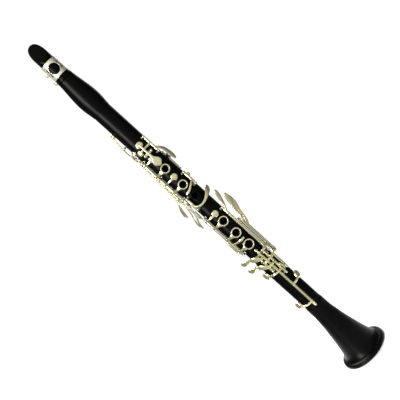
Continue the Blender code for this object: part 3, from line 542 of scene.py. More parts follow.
def ring_of(loop, look, sides=96):
    """A closed turned shell from a closed loop of (radius, height)."""
    points, faces, _ = turned([*loop, loop[0]], look, sides=sides)
    rows = len(loop)
    points = points[:rows * sides]
    faces = [tuple(corner % (rows * sides) for corner in face) for face in faces]
    return points, faces, look


def tenon(base, direction, length, groove_inset=3.0):
    """Profile points of a corked tenon, from the shoulder outward."""
    tip = base + direction * length
    return [(TENON, base), (TENON, base + direction * groove_inset),
            (TENON_GROOVE, base + direction * groove_inset),
            (TENON_GROOVE, tip - direction * groove_inset),
            (TENON, tip - direction * groove_inset), (TENON, tip)]


def make_bell():
    wall = 3.4
    flare = [(15.3, BELL_LENGTH), (15.5, 96), (16.2, 86), (17.4, 76), (19.0, 64), (21.4, 50),
             (24.3, 34), (27.1, 21), (29.8, 12.0), (33.2, 7.4), (37.0, 5.4)]
    socket_floor = BELL_LENGTH - LOW_TENON_LENGTH - 1.0
    lip = [(RIM - 0.7, 4.4), (RIM - 0.1, 3.4), (RIM - 0.02, 2.4), (RIM - 0.02, 0.5), (RIM - 0.5, 0.02),
           (RIM - 3.2, 0.02), (RIM - 3.8, 0.5)]
    inside = [(radius - wall, height) for radius, height in reversed(flare[4:9])]
    inside += [(12.6, socket_floor - 6), (11.6, socket_floor), (SOCKET, socket_floor),
               (SOCKET, BELL_LENGTH)]
    loop = [*smooth_path(flare, 6), *lip, *smooth_path(inside[:-2], 6), *inside[-2:]]
    build_piece("bell", [ring_of(loop, "body", 128)])


def make_joints():
    top = UPPER_BASE - GAP
    bottom = LOWER_BASE + GAP
    socket_floor = UPPER_BASE - MIDDLE_TENON_LENGTH - 1.0
    lower = [(BODY, top), (BODY, bottom + 7), (15.3, bottom + 2), (15.3, bottom)]
    lower += tenon(bottom, -1, LOW_TENON_LENGTH)
    lower += [(9.2, bottom - LOW_TENON_LENGTH), (BORE, 170), (BORE, socket_floor),
              (SOCKET, socket_floor), (SOCKET, top)]
    joint_piece("lower_joint", lower, LOWER_HOLES)

    top = BARREL_BASE - GAP
    bottom = UPPER_BASE
    upper = list(reversed(tenon(top, 1, TENON_LENGTH)))
    upper += [(BODY, top), (BODY, bottom)]
    upper += tenon(bottom, -1, MIDDLE_TENON_LENGTH)
    upper += [(BORE, bottom - MIDDLE_TENON_LENGTH), (BORE, top + TENON_LENGTH)]
    joint_piece("upper_joint", upper, UPPER_HOLES)


def make_barrel():
    low = BARREL_BASE
    high = MOUTHPIECE_BASE - GAP
    floor_low = low + TENON_LENGTH + 4.0
    floor_high = high - TENON_LENGTH - 1.0
    swell = [(13.3, high), (13.6, high - 4), (15.2, high - 17), (16.6, high - 30),
             (17.0, high - 40), (16.6, high - 49), (15.2, high - 60), (14.9, low)]
    inside = [(SOCKET, low), (SOCKET, floor_low), (BORE, floor_low), (BORE, floor_high),
              (SOCKET, floor_high), (SOCKET, high)]
    build_piece("barrel", [ring_of([*smooth_path(swell, 6), *inside], "body")])


def make_cork(name, base, direction, length):
    low, high = sorted((base + direction * (3.0 + GAP), base + direction * (length - 3.0 - GAP)))
    inner = TENON_GROOVE + GAP
    loop = rounded([(inner, high), (CORK, high), (CORK, low), (inner, low), (inner, high)], 0.25)
    build_piece(name, [ring_of(loop[:-1], "cork", 72)])


def make_corks():
    make_cork("mouthpiece_cork", MOUTHPIECE_BASE, -1, TENON_LENGTH)
    make_cork("top_tenon_cork", BARREL_BASE - GAP, 1, TENON_LENGTH)
    make_cork("middle_tenon_cork", UPPER_BASE, -1, MIDDLE_TENON_LENGTH)
    make_cork("bell_tenon_cork", LOWER_BASE + GAP, -1, LOW_TENON_LENGTH)


def make_mouthpiece():
    """A round blank that narrows to the beak: a flat table behind, a slope in front, an arched tip."""
    low = MOUTHPIECE_BASE
    slope_start = LIGATURE_HIGH + 1.0
    narrows = 636.0
    loops = []
    heights = [low + 0.05, low + 0.6, low + 2, LIGATURE_LOW - 2.4, LIGATURE_LOW - 2.0,
               LIGATURE_LOW - 1.1]
    radii = [SHANK - 0.5, SHANK - 0.05, SHANK, 12.7, 12.5, BLANK]
    count = 44
    for step in range(count + 1):
        heights.append(LIGATURE_LOW - 0.6 + (TIP - 0.02 - LIGATURE_LOW + 0.6) * step / count)
        radii.append(BLANK)
    for height, radius in zip(heights, radii):
        front = -radius
        if height > slope_start:
            rise = (height - slope_start) / (TIP - slope_start)
            front = -BLANK + (BLANK + TABLE - 0.9) * rise ** 1.04
        half = radius
        if height > narrows:
            lift = min((height - narrows) / (TIP - narrows), 1.0)
            half = 11.4 * max(1.0 - lift ** 2.3, 0.0) ** 0.42
        half = max(min(half, radius), 0.3)
        back = TABLE if height > low + 1.5 else radius
        loop = []
        for angle in circle(96):
            x = radius * math.sin(angle)
            y = -radius * math.cos(angle)
            crown = 0.9 * (1.0 - (x / radius) ** 2) if height > slope_start else 0.0
            y = min(max(y, front - crown), back)
            loop.append(Vector((max(min(x, half), -half), y, height)))
        loops.append(loop)
    blank = skin(loops, "ebonite")
    stem = [(SHANK - 0.6, low + 0.1), *tenon(low, -1, TENON_LENGTH)]
    stem += [(BORE, low - TENON_LENGTH), (BORE, low + 0.1)]
    build_piece("mouthpiece", [blank, ring_of(stem, "ebonite")])


def make_reed():
    """Flat side on the table, full thickness at the butt, scraped to a thin rounded tip."""
    flat = TABLE + GAP
    stations = [(594.0, 5.6, 2.48), (600.0, 5.7, 2.48), (628.0, 5.8, 2.4), (632.0, 5.85, 2.1),
                (638.0, 5.95, 1.65), (645.0, 6.1, 1.25), (650.0, 6.2, 0.9), (655.0, 6.25, 0.6),
                (657.5, 5.6, 0.45), (658.8, 4.6, 0.38), (TIP - 0.4, 3.0, 0.34)]
    loops = []
    for height, half, thick in stations:
        loop = [Vector((half, flat + 0.01, height)), Vector((-half, flat + 0.01, height))]
        for step in range(15):
            turn = math.pi * (1 - step / 14)
            bulge = max(math.sin(turn), 0.0) ** 0.5
            loop.append(Vector((half * math.cos(turn), flat + thick * (0.3 + 0.69 * bulge), height)))
        loops.append(loop)
    build_piece("reed", [skin(loops, "cane")])


def box_shell(low, high, look, edge=0.4):
    """A block with softened edges, from its corners, long in Z."""
    low = Vector(low)
    high = Vector(high)
    centre = (low + high) / 2
    half = (high - low) / 2
    loops = []
    for rise, inset in ((-1.0, edge), (-0.9, edge * 0.3), (-0.75, 0), (0.75, 0), (0.9, edge * 0.3),
                        (1.0, edge)):
        loop = []
        for turn in circle(24):
            x = squared(math.cos(turn), 0.25) * (half.x - inset)
            y = squared(math.sin(turn), 0.25) * (half.y - inset)
            loop.append(centre + Vector((x, y, rise * half.z)))
        loops.append(loop)
    return skin(loops, look)


def cut(item, cutter):
    """Takes the cutter's shape out of item and removes the cutter."""
    change = item.modifiers.new("change", "BOOLEAN")
    change.operation = "DIFFERENCE"
    change.solver = "EXACT"
    change.object = cutter
    bpy.context.view_layer.update()
    graph = bpy.context.evaluated_depsgraph_get()
    mesh = bpy.data.meshes.new_from_object(item.evaluated_get(graph))
    item.modifiers.clear()
    item.data = mesh
    bpy.data.objects.remove(cutter, do_unlink=True)


def joined(name, items):
    """Several mesh objects made into one."""
    bpy.ops.object.select_all(action="DESELECT")
    for item in items:
        item.select_set(True)
    bpy.context.view_layer.objects.active = items[0]
    bpy.ops.object.join()
    items[0].name = name
    items[0].data.shade_smooth()
    items[0].data.set_sharp_from_angle(angle=math.radians(SMOOTH_BELOW))
    return items[0]


def make_ligature():
    """A band with beaded rims, a round window, two slots, and lugs behind for the screws."""
    outer = LIGATURE_INNER + LIGATURE_WALL - 0.03
    inner = LIGATURE_INNER + 0.03
    high = LIGATURE_HIGH - 0.02
    low = LIGATURE_LOW + 0.02
    loop = rounded([(inner, low), (inner, high), (outer, high), (outer, low), (inner, low)], 0.2)
    band = make_mesh("band", [ring_of(loop[:-1], "ligature", 128)])
    band.data.transform(Matrix.Translation((0, LIGATURE_SHIFT * MM, 0)))
    middle = (LIGATURE_LOW + LIGATURE_HIGH) / 2 - 0.5
    cutters = [turned([(LIGATURE_WINDOW, 0), (LIGATURE_WINDOW, 30)], "ligature", (0, 0, middle),
                      (0, -1, 0), 64, True),
               box_shell((-1.2, 8, LIGATURE_LOW - 1), (1.2, 30, LIGATURE_HIGH + 1), "ligature", 0.0)]
    for angle in (48, -48):
        slot = strip([(angle, outer, LIGATURE_LOW + 6, 2.2), (angle, outer, LIGATURE_HIGH - 7, 2.2)],
                     5.0)
        cutters.append((slot[0], slot[1], "ligature"))
    cut(band, make_mesh("cutters", cutters))
    back = LIGATURE_SHIFT + LIGATURE_INNER + LIGATURE_WALL
    details = []
    frame_edge = []
    for turn in circle(64):
        x = (LIGATURE_WINDOW + 0.35) * math.cos(turn)
        z = middle + (LIGATURE_WINDOW + 0.35) * math.sin(turn)
        y = LIGATURE_SHIFT - math.sqrt(max(outer ** 2 - x * x, 1.0)) + 0.12
        frame_edge.append(Vector((x, y, z)))
    details.append(bead(frame_edge, 0.42, "ligature"))
    for height in (LIGATURE_HIGH - 0.65, LIGATURE_LOW + 0.65):
        arc = []
        for step in range(81):
            turn = math.radians(-174 + 348 * step / 80)
            point = outward(math.degrees(turn)) * (outer - 0.18)
            arc.append(Vector((point.x, point.y + LIGATURE_SHIFT, height)))
        details.append(bead(arc, 0.42, "ligature", False))
    for height in LIGATURE_SCREWS:
        for low_x, high_x in ((1.3, 4.8), (-4.8, -1.3)):
            details.append(box_shell((low_x, back - 0.65, height - 3),
                                     (high_x, SCREW_Y + 3.0, height + 3), "ligature"))
    ride_as(joined("ligature_look", [band, make_mesh("details", details)]), "ligature")
    for label, height in zip(("upper", "lower"), LIGATURE_SCREWS):
        shank = rod_shell(Vector((-8, SCREW_Y, height)), Vector((7.48, SCREW_Y, height)), 1.18,
                          "ligature")
        build_piece("ligature_screw_" + label, [screw_head(height), shank])


def screw_head(height):
    """A thumb screw's turned head, with ridges round its widest part."""
    outline = [(0.01, -16.45), (1.9, -16.45), (2.5, -16.1), (3.6, -15.6), (3.88, -14.8), (3.88, -12.6),
               (3.55, -11.8), (2.5, -10.9), (2.0, -9.6), (2.2, -8.0), (2.15, -7.2), (1.2, -7.1)]
    loops = []
    for radius, x in rounded(outline, 0.3):
        valley = 0.955 if 3.0 < radius and -15.4 < x < -12.2 else 1.0
        loop = []
        for step, turn in enumerate(circle(60)):
            reach = radius * (valley if step % 2 else 1.0)
            loop.append(Vector((x, SCREW_Y + reach * math.cos(turn), height + reach * math.sin(turn))))
        loops.append(loop)
    return skin(loops, "ligature")


def bead(path, radius, look, cyclic=True):
    """A thin round bead laid along a path of points."""
    loops = []
    count = len(path)
    for index, point in enumerate(path):
        after = path[(index + 1) % count] if cyclic else path[min(index + 1, count - 1)]
        before = path[index - 1] if cyclic else path[max(index - 1, 0)]
        along = (after - before).normalized()
        side = along.cross(Vector((0, 1, 0.001))).normalized()
        up = side.cross(along)
        loops.append([point + side * (radius * math.cos(turn)) + up * (radius * math.sin(turn))
                      for turn in circle(12)])
    if cyclic:
        loops.append(loops[0])
    return skin(loops, look, not cyclic)


def make_thumb_rest():
    back = BODY + GAP
    plate = strip([(180, back + 1.0, 280.6, 9.0), (180, back + 1.0, 266, 9.4),
                   (180, back + 1.0, 251.4, 9.0)], 1.96)
    hook = strip([(180, back + 1.2, 275, 11.0), (180, back + 9, 274, 12.0),
                  (180, back + 15, 270, 12.0), (180, back + 16.9, 262.8, 11.0)], 2.3)
    screws = [turned(rounded([(0.01, 2.55), (1.7, 2.5), (1.9, 1.8)], 0.3), "steel",
                     place(180, back, height), outward(180), 28) for height in (278, 255)]
    build_piece("thumb_rest", [plate, hook, *screws])


# -------- upper-joint keys

REGISTER_HUB = (88, 18.6, 470, 4.0)
A_HUB = (0, 19.6, 441.5, 7.0)
TRILL_HUB_LENGTH = 2.8
TRILL_SPREAD = 11.5           # degrees from a trill saddle to the lever at each side
TRILL_FACES = {"upper": 68, "lower": 74}      # the side that the touches face
TRILL_SADDLES = {"upper": (95.0, 18.8, 418.0), "lower": (130.0, 18.8, 380.0)}
G_SHARP_HINGE = (-42, 19.0, 436, 459.5)
INDEX_HINGE = (60, HINGE, 407.4, 435)
MIDDLE_HINGE = (60, HINGE, 363, 402.0)
LEFT_SLIVER_HINGE = (-45, HINGE, 366.5, 384.5)
C_SHARP_HINGE = (38, HINGE, 339, 355.0)
THUMB_HINGE = (-130, HINGE, 395, 424.0)


def pad_arm(height, middle, near):
    """A pad cup's arm from a hinge at 60 degrees, through the angle middle to the angle near."""
    return strip([(60, RING_ARM, height, 3.0), (middle, 20.4, height, 2.6), (near, 19.6, height, 3.2)])


def ring_arm(height, bend, near, widths):
    """A finger ring's arm, from the same hinge; near is its inner end, (angle, rise from the ring)."""
    return strip([(60, RING_ARM, height, 4.0), (bend, 20.2, height, widths[0]),
                  (near[0], RING_REST + near[1], height, widths[1])])


def make_register_key():
    pieces = [
        cup(76, 493, CLOSED, 8.4),
        strip([(77, CLOSED + 2.6, 493, 3.4), (82, 19.2, 482, 3.0), (88, 20.0, 470, 3.2),
               (100, 20.4, 459, 3.2), (126, 20.6, 447, 3.6), (156, 21.0, 437, 5.0),
               (174, 21.6, 430, 9.0), (180, 21.8, 424, 8.0)], 1.7),
    ]
    cross_key("register_key", REGISTER_HUB, pieces)
    cross_pivot("register_pivot", REGISTER_HUB)


def make_a_key():
    pieces = [
        cup(0, 458, CLOSED, 10.2),
        strip([(0, CLOSED + 2.4, 459, 3.4), (0, 20.6, 451, 2.8), (0, 21.2, 441.5, 3.0),
               (0, 22.0, 434, 4.0), (0, 22.4, 428, 11.5), (0, 22.4, 423, 12.2),
               (0, 22.2, 419.2, 5.5)]),
    ]
    cross_key("a_key", A_HUB, pieces)
    cross_pivot("a_pivot", A_HUB)


def make_g_sharp_key():
    pieces = [
        cup(29, 449, CLOSED, 8.8),
        strip([(-42, 20.2, 449.7, 3.0), (-22, 18.0, 449.7, 2.6), (0, 17.4, 449.7, 2.6),
               (24, 17.6, 449.2, 3.2)]),
        strip([(-42, 19.6, 440, 3.0), (-52, 21.6, 436, 4.0), (-62, 23.0, 428, 6.5),
               (-64, 23.8, 416, 7.5), (-64, 23.8, 409, 4.0)], 1.6, face=-42),
    ]
    hinged("g_sharp", "_key", G_SHARP_HINGE, pieces)


def make_side_keys():
    """Four long levers; each swells into a touch that stands out for the right hand."""
    pads = {"upper": ((78, 443.5), (58, 455)), "lower": ((123, 404), (141, 392))}
    necks = {
        "upper": ([(82, 19.6, 440, 3.0)],
                  [(70, 19.6, 453, 3.0), (98, 19.8, 448, 3.0), (105, 19.8, 438, 3.0)]),
        "lower": ([(120, 19.6, 400, 3.0)], [(141, 19.6, 390, 3.0)])}
    touches = {
        "upper": ([(85, 22.4, 372, 3.0), (84, 25.6, 358, 4.0), (80, 29.6, 347, 7.5),
                   (79, 31.4, 338, 4.0)],
                  [(106, 21.0, 368, 3.0), (101, 26.0, 358, 4.5), (98, 30.5, 349, 7.5),
                   (97, 33.0, 340, 4.0)]),
        "lower": ([(117, 21.0, 358, 3.0), (100, 23.6, 338, 3.6), (84, 26.6, 328, 6.5),
                   (80, 28.5, 321, 7.0), (79, 29.0, 315, 4.0)],
                  [(138, 21.5, 354, 3.0), (122, 24.4, 330, 4.0), (110, 27.4, 318, 7.0),
                   (106, 28.8, 308, 4.0)])}
    number = 1
    for label, (angle, distance, height) in TRILL_SADDLES.items():
        saddle_pivot(label + "_trill_pivot", angle, distance, height)
        hub = (angle, distance, height, TRILL_HUB_LENGTH)
        for side in (0, 1):
            sign = 2 * side - 1
            lever = angle + sign * TRILL_SPREAD
            pad_angle, pad_height = pads[label][side]
            pieces = [cup(pad_angle, pad_height, CLOSED, 8.0),
                      strip([(pad_angle, CLOSED + 2.4, pad_height, 3.4), *necks[label][side],
                             (lever, 20.4, height, 3.0)]),
                      strip([(lever, 20.4, height + 1, 3.0), *touches[label][side]], 1.6, 3,
                            TRILL_FACES[label])]
            cross_key("side_key_%d" % number, hub, pieces, sign * trill_offset(distance))
            number += 1


def make_ring_keys():
    index_pieces = [
        cup(10, 431.8, OPEN, 9.4),
        pad_arm(431.8, 40, 16),
        ring(0, 409.9, RING_REST, 6.9, 5.25),
        ring_arm(409.9, 40, (20, 0.9), (3.6, 6.0)),
    ]
    long_key("index_ring_key", INDEX_HINGE, index_pieces)
    middle_pieces = [
        cup(0, 392.9, OPEN, 9.8),
        pad_arm(392.9, 34, 8),
        ring(0, 376.7, RING_REST, 7.1, 5.4),
        ring_arm(376.7, 40, (20, 0.9), (3.6, 6.0)),
        strip([(60, RING_ARM, 366.6, 4.0), (69, 22.0, 362, 3.0), (67, 21.4, 345, 3.0),
               (67, 21.4, 324, 3.6)]),
    ]
    long_key("middle_ring_key", MIDDLE_HINGE, middle_pieces)
    joined = (INDEX_HINGE[0], INDEX_HINGE[1], MIDDLE_HINGE[2], INDEX_HINGE[3])
    long_pivot("left_ring_pivot", joined, [(INDEX_HINGE[2] + MIDDLE_HINGE[3]) / 2])


def make_left_sliver_key():
    pieces = [
        cup(-88, 380, CLOSED, 9.0),
        strip([(-45, 20.2, 379, 3.0), (-64, 20.0, 379.5, 2.6), (-84, 18.2, 380, 3.2)]),
        strip([(-45, 20.4, 372, 3.0), (-30, 20.0, 369.6, 2.8), (-12, 18.4, 366, 3.0),
               (4, 18.3, 363.8, 3.2), (22, 18.2, 362.6, 2.6)], 1.5),
    ]
    hinged("left_sliver", "_key", LEFT_SLIVER_HINGE, pieces)


def make_c_sharp_key():
    pieces = [
        cup(90, 350, CLOSED, 9.4),
        strip([(38, 18.0, 352, 2.6), (62, 16.4, 352, 2.8), (76, 17.1, 351, 3.0),
               (88, 17.6, 350.2, 3.2)], 1.4),
        strip([(38, 20.4, 343, 3.2), (24, 19.6, 339.2, 3.0), (4, 19.0, 337.8, 3.0),
               (-16, 19.6, 339, 3.4), (-34, 21.4, 341.6, 5.5), (-48, 23.2, 344.8, 8.5),
               (-59, 24.2, 347.6, 8.0), (-66, 24.4, 349.4, 4.0)], 1.7),
    ]
    hinged("c_sharp", "_key", C_SHARP_HINGE, pieces)


def make_thumb_key():
    pieces = [
        ring(180, 400, RING_REST, 6.8, 5.1),
        strip([(-130, RING_ARM, 400, 4.0), (-146, 20.2, 400, 3.6),
               (-160, RING_REST + 0.9, 400, 6.0)]),
        cup(-104, 418, OPEN, 9.0),
        strip([(-130, RING_ARM, 418, 3.0), (-108, 20.0, 418, 3.2)]),
    ]
    hinged("thumb_ring", "_key", THUMB_HINGE, pieces)


# -------- lower-joint keys

RIGHT_RING_HINGE = (60, HINGE, 243.5, 316.5)
RIGHT_SLIVER_HINGE = (86, HINGE, 248, 266)
F_HINGE = (-20, HINGE, 181.5, 220.5)
F_SHARP_HINGE = (17, HINGE, 197.0, 214.5)
LONG_STACK = (0, HINGE, 116.0, 231.0)
A_FLAT_HINGE = (0, HINGE, 157.5, 231.0)
E_HINGE = (0, HINGE, 116.0, 157.2)
LEFT_F_HINGE = (-43, HINGE, 227.0, 309.0)
LEFT_F_LOW = (-43, HINGE, 186.0, 214.0)
LEFT_E_HINGE = (-62, 20.4, 227.5, 280.0)
LEFT_F_SHARP_HINGE = (-84, 20.4, 211.5, 270.5)
OVER = 22.6                   # bars that cross above the hinge tubes
UNDER = 16.6                  # bars that cross below them
LINK = 16.0                   # the long bar that runs below the stack's tubes
LOW_OPEN = SEAT + GAP + 3.0
TOUCH = 24.0


def make_right_ring_key():
    pieces = [cup(0, 314.4, OPEN, 10.0), pad_arm(314.4, 34, 8)]
    for height, outer in ((298.8, 7.5), (273.8, 7.5), (248.7, 7.9)):
        pieces.append(ring(0, height, RING_REST, outer, outer - 1.7))
        pieces.append(ring_arm(height, 42, (21, 1.0), (3.4, 7.0)))
    pieces.append(strip([(60, RING_ARM, 307, 3.6), (72, 19.4, 312, 3.0), (76, 18.6, 320, 3.0),
                         (71, 18.2, 328, 3.2), (70, 18.2, 336, 3.6)]))
    hinged("right_ring", "_key", RIGHT_RING_HINGE, pieces)


def make_right_sliver_key():
    pieces = [
        strip([(86, 18.6, 261.3, 3.0), (70, UNDER - 0.3, 261.2, 3.0), (50, UNDER - 0.3, 261.0, 3.0),
               (30, 17.4, 260.8, 3.2), (8, 18.8, 260.6, 3.6), (-8, 18.8, 260.6, 3.0)], 1.3),
        strip([(86, 20.8, 254, 3.0), (102, 20.6, 257, 2.8), (116, 18.4, 261.4, 3.2)]),
        cup(118, 262, CLOSED, 8.4),
    ]
    hinged("right_sliver", "_key", RIGHT_SLIVER_HINGE, pieces)


def make_little_finger_keys():
    pad = 13.0
    a_flat = [
        cup(-60, 161.4, CLOSED, pad, 4.2),
        strip([(0, 20.6, 159.5, 3.4), (-20, 20.6, 159.6, 3.0), (-54, CLOSED + 3.8, 161, 3.6)]),
        strip([(0, 20.6, 219, 3.2), (10, OVER + 0.6, 221, 3.6), (24, TOUCH, 225.5, 8.0),
               (37, TOUCH, 228, 8.0), (44, TOUCH - 0.2, 229.3, 4.5)]),
    ]
    long_key("a_flat_key", A_FLAT_HINGE, a_flat)

    f_sharp = [
        cup(74, 211, OPEN, 9.6),
        strip([(17, 19.0, 207, 3.2), (34, 18.6, 208.4, 3.2), (50, 19.4, 210, 3.4),
               (68, OPEN + 2.4, 211, 3.6)]),
        strip([(50, 19.4, 210.4, 3.0), (58, 21.4, 211.8, 4.0), (65, TOUCH + 0.6, 213.2, 6.5),
               (72, TOUCH + 3.0, 214.2, 8.0), (80, TOUCH + 5.2, 215, 7.5),
               (84, TOUCH + 6.2, 215.4, 4.5)]),
        strip([(17, 20.6, 212, 2.8), (11, 24.6, 212.6, 3.0), (-6, 25.6, 213.2, 3.0),
               (-26, 25.6, 213.4, 4.0)], 1.2),
    ]
    hinged("f_sharp", "_key", F_SHARP_HINGE, f_sharp)

    f_key = [
        cup(62, 193.5, LOW_OPEN, pad, 4.2),
        strip([(-20, 20.6, 190, 3.2), (-9, OVER + 0.8, 190, 2.8), (8, OVER + 1.2, 190, 2.8),
               (24, OVER + 0.8, 190.6, 2.8), (42, 21.6, 191.8, 3.0),
               (57, LOW_OPEN + 3.6, 193, 3.6)]),
        strip([(-20, 20.4, 197, 2.8), (-21, 24.4, 196.0, 2.8), (-24, 25.4, 192, 3.2),
               (-26, 25.4, 188.6, 4.0)], 1.2),
        strip([(-20, 20.6, 204, 3.2), (-8, OVER + 1.0, 204.6, 3.2), (8, OVER + 1.6, 204.8, 3.4),
               (22, TOUCH + 0.4, 207.6, 6.4), (36, TOUCH, 211.6, 8.0),
               (43, TOUCH - 0.2, 213.6, 4.5)]),
    ]
    hinged("f", "_key", F_HINGE, f_key)

    e_key = [
        cup(62, 126, LOW_OPEN, pad, 4.2),
        strip([(0, 20.6, 121.4, 3.2), (24, 21.4, 121.6, 3.0), (56, LOW_OPEN + 3.6, 125, 3.6)]),
        strip([(0, 17.1, 140, 2.4), (0, 17.1, 150, 2.4), (0, LINK, 156.2, 2.4),
               (0, LINK, 226, 2.4)], 1.2, 1),
        strip([(0, LINK, 224.4, 3.0), (18, 16.8, 225.4, 3.0), (38, 17.8, 226.6, 3.2),
               (54, 19.4, 227.6, 4.0), (64, TOUCH - 1.2, 228.4, 6.5), (72, TOUCH + 2.2, 229.2, 8.0),
               (80, TOUCH + 4.8, 229.8, 7.5), (84, TOUCH + 6.0, 230, 4.5)]),
        strip([(0, LINK, 226, 3.4), (-9, 17.4, 227.4, 3.2), (-12, 21.0, 228.4, 3.2),
               (-13, 24.8, 228.6, 3.6), (-20, 25.6, 228.8, 3.4), (-29, 25.6, 228.8, 4.0)], 1.2),
    ]
    long_key("e_key", E_HINGE, e_key)
    long_pivot("long_stack_pivot", LONG_STACK)


def make_left_levers():
    e_lever = [
        strip([(-62, 21.6, 230, 3.2), (-50, 23.6, 229.6, 2.8), (-36, 23.4, 229, 2.6),
               (-24, 23.2, 228.8, 3.0)], 1.4),
        strip([(-62, 21.6, 274, 3.4), (-67, 24.6, 282.5, 3.0), (-71, 25.6, 296, 3.6),
               (-75, 28.6, 306, 6.5), (-77, 30.4, 315, 8.0), (-78, 31.0, 322, 4.5)], 1.8, face=-25),
    ]
    hinged("left_e", "_lever", LEFT_E_HINGE, e_lever)

    # This lever's tube is in two lengths, joined by a bar that passes the post between them
    bypass = [(-43, 20.6, 230, 3.0), (-50, 21.6, 226, 2.8), (-53, 21.8, 220.5, 2.8),
              (-50, 21.6, 215, 2.8), (-43, 20.6, 211, 3.0)]
    f_lever = [
        tube(LEFT_F_HINGE),
        tube(LEFT_F_LOW),
        strip(bypass, 1.6),
        strip([(-43, 20.8, 189.6, 3.2), (-36, 22.8, 189.8, 2.8), (-24, OVER + 0.8, 190, 3.0)], 1.2),
        strip([(-43, 20.6, 305, 3.2), (-49, 23.2, 311.5, 3.2), (-62, 23.6, 321, 6.0),
               (-66, 25.2, 329, 6.8), (-69, 26.4, 336, 4.0)], 1.7, face=-30),
    ]
    build_piece("left_f_lever", f_lever)
    joined = (LEFT_F_HINGE[0], HINGE, LEFT_F_LOW[2], LEFT_F_HINGE[3])
    long_pivot("left_f_pivot", joined, [(LEFT_F_LOW[3] + LEFT_F_HINGE[2]) / 2])

    f_sharp_lever = [
        strip([(-84, 21.6, 215, 3.2), (-66, 24.0, 214.4, 2.8), (-48, 24.2, 213.6, 2.6),
               (-34, 23.4, 213.4, 2.6), (-21, 23.2, 213.4, 3.0)], 1.4),
        strip([(-84, 21.8, 266, 3.4), (-90, 25.0, 273, 3.2), (-95, 27.4, 287, 4.6),
               (-96, 30.0, 300, 8.6), (-95, 30.8, 311, 8.2), (-94, 31.0, 317, 4.0)], 1.8, face=-20),
    ]
    hinged("left_f_sharp", "_lever", LEFT_F_SHARP_HINGE, f_sharp_lever)


make_register_key()
make_a_key()
make_g_sharp_key()
make_side_keys()
make_ring_keys()
make_left_sliver_key()
make_c_sharp_key()
make_thumb_key()
make_right_ring_key()
make_right_sliver_key()
make_little_finger_keys()
make_left_levers()

make_bell()
make_joints()
make_barrel()
make_corks()
make_mouthpiece()
make_reed()
make_ligature()
make_thumb_rest()


# -------- stage, light and camera

FLOOR_RADIUS = 0.22


def area_light(name, location, aim, width, height, power, colour=(1.0, 1.0, 1.0)):
    light = bpy.data.lights.new(name, "AREA")
    light.shape = "RECTANGLE"
    light.size = width
    light.size_y = height
    light.energy = power
    light.color = colour
    item = bpy.data.objects.new(name, light)
    item.location = location
    item.rotation_euler = (Vector(aim) - Vector(location)).to_track_quat("-Z", "Y").to_euler()
    bpy.context.scene.collection.objects.link(item)


def make_floor():
    """A round sheet of pale paper under the bell."""
    paper_look = make_look("floor_paper", 0.0, 0.1, [(0.3, grey(0.90)), (0.7, grey(0.93))],
                           (0.8, 0.9), [(300.0, 1.0, 0.1, 0.0002)], 60.0)
    mesh = bpy.data.meshes.new("floor")
    rim = [(FLOOR_RADIUS * math.cos(turn), FLOOR_RADIUS * math.sin(turn), -0.0005)
           for turn in circle(96)]
    mesh.from_pydata(rim, [], [tuple(range(96))])
    mesh.materials.append(paper_look)
    floor = bpy.data.objects.new("floor", mesh)
    bpy.context.scene.collection.objects.link(floor)


def make_sun():
    """Even, very soft light from above that keeps the floor white."""
    light = bpy.data.lights.new("overhead", "SUN")
    light.energy = 3.5
    light.angle = math.radians(36)
    item = bpy.data.objects.new("overhead", light)
    item.rotation_euler = (math.radians(-28), math.radians(-12), 0)
    bpy.context.scene.collection.objects.link(item)


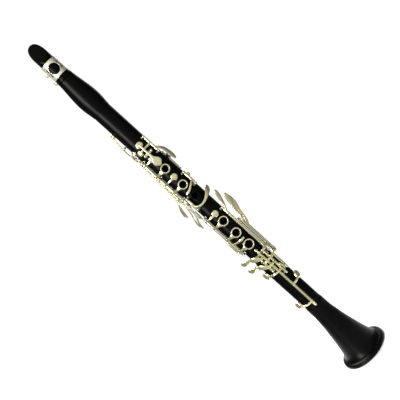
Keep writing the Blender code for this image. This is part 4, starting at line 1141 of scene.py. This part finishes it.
def make_world():
    """White to the camera; the object is lit by a dimmer studio, brightest in front."""
    world = bpy.data.worlds.new("studio")
    bpy.context.scene.world = world
    world.use_nodes = True
    nodes = world.node_tree.nodes
    links = world.node_tree.links
    nodes.clear()
    seen = nodes.new("ShaderNodeBackground")
    soft = nodes.new("ShaderNodeBackground")
    seen.inputs["Color"].default_value = (1.0, 1.0, 1.0, 1.0)
    seen.inputs["Strength"].default_value = 1.05
    soft.inputs["Color"].default_value = (1.0, 1.0, 0.98, 1.0)
    source = nodes.new("ShaderNodeTexCoord")
    front = nodes.new("ShaderNodeVectorMath")
    front.operation = "DOT_PRODUCT"
    front.inputs[1].default_value = (0.0, -0.95, 0.31)
    links.new(source.outputs["Generated"], front.inputs[0])
    fade = nodes.new("ShaderNodeMapRange")
    for name, value in (("From Min", 0.1), ("From Max", 0.95), ("To Min", 0.15), ("To Max", 0.62)):
        fade.inputs[name].default_value = value
    links.new(front.outputs["Value"], fade.inputs["Value"])
    links.new(fade.outputs["Result"], soft.inputs["Strength"])
    path = nodes.new("ShaderNodeLightPath")
    mix = nodes.new("ShaderNodeMixShader")
    output = nodes.new("ShaderNodeOutputWorld")
    links.new(path.outputs["Is Camera Ray"], mix.inputs["Fac"])
    links.new(soft.outputs["Background"], mix.inputs[1])
    links.new(seen.outputs["Background"], mix.inputs[2])
    links.new(mix.outputs["Shader"], output.inputs["Surface"])


def make_camera():
    """Level with the upper joint, aimed down, and rolled so that the clarinet leans left."""
    spot = Vector((0.0, -0.857, 0.467))
    aim = Vector((0.0, 0.0, 0.341))
    roll = math.radians(47.95)
    ahead = (aim - spot).normalized()
    level = ahead.cross(Vector((0, 0, 1))).normalized()
    rise = level.cross(ahead)
    right = level * math.cos(roll) - rise * math.sin(roll)
    up = level * math.sin(roll) + rise * math.cos(roll)
    camera = bpy.data.objects.new("camera", bpy.data.cameras.new("camera"))
    camera.data.lens = 54.0
    camera.data.sensor_width = 36.0
    camera.data.clip_start = 0.02
    turn = Matrix((right, up, -ahead)).transposed().to_4x4()
    camera.matrix_world = Matrix.Translation(spot) @ turn
    bpy.context.scene.collection.objects.link(camera)
    bpy.context.scene.camera = camera


make_floor()
make_world()
make_sun()
area_light("key_light", (-0.95, -0.88, 0.80), (0, 0, 0.45), 0.50, 1.3, 29.0, (1.0, 1.0, 0.97))
area_light("front_fill", (-0.5, -1.4, 1.1), (0, 0, 0.35), 0.5, 0.5, 0.5)
area_light("back_fill", (0.75, 1.15, 0.85), (0, 0, 0.35), 0.5, 1.2, 3.0)
make_camera()
bpy.context.scene.view_settings.view_transform = "Standard"

bpy.context.view_layer.update()
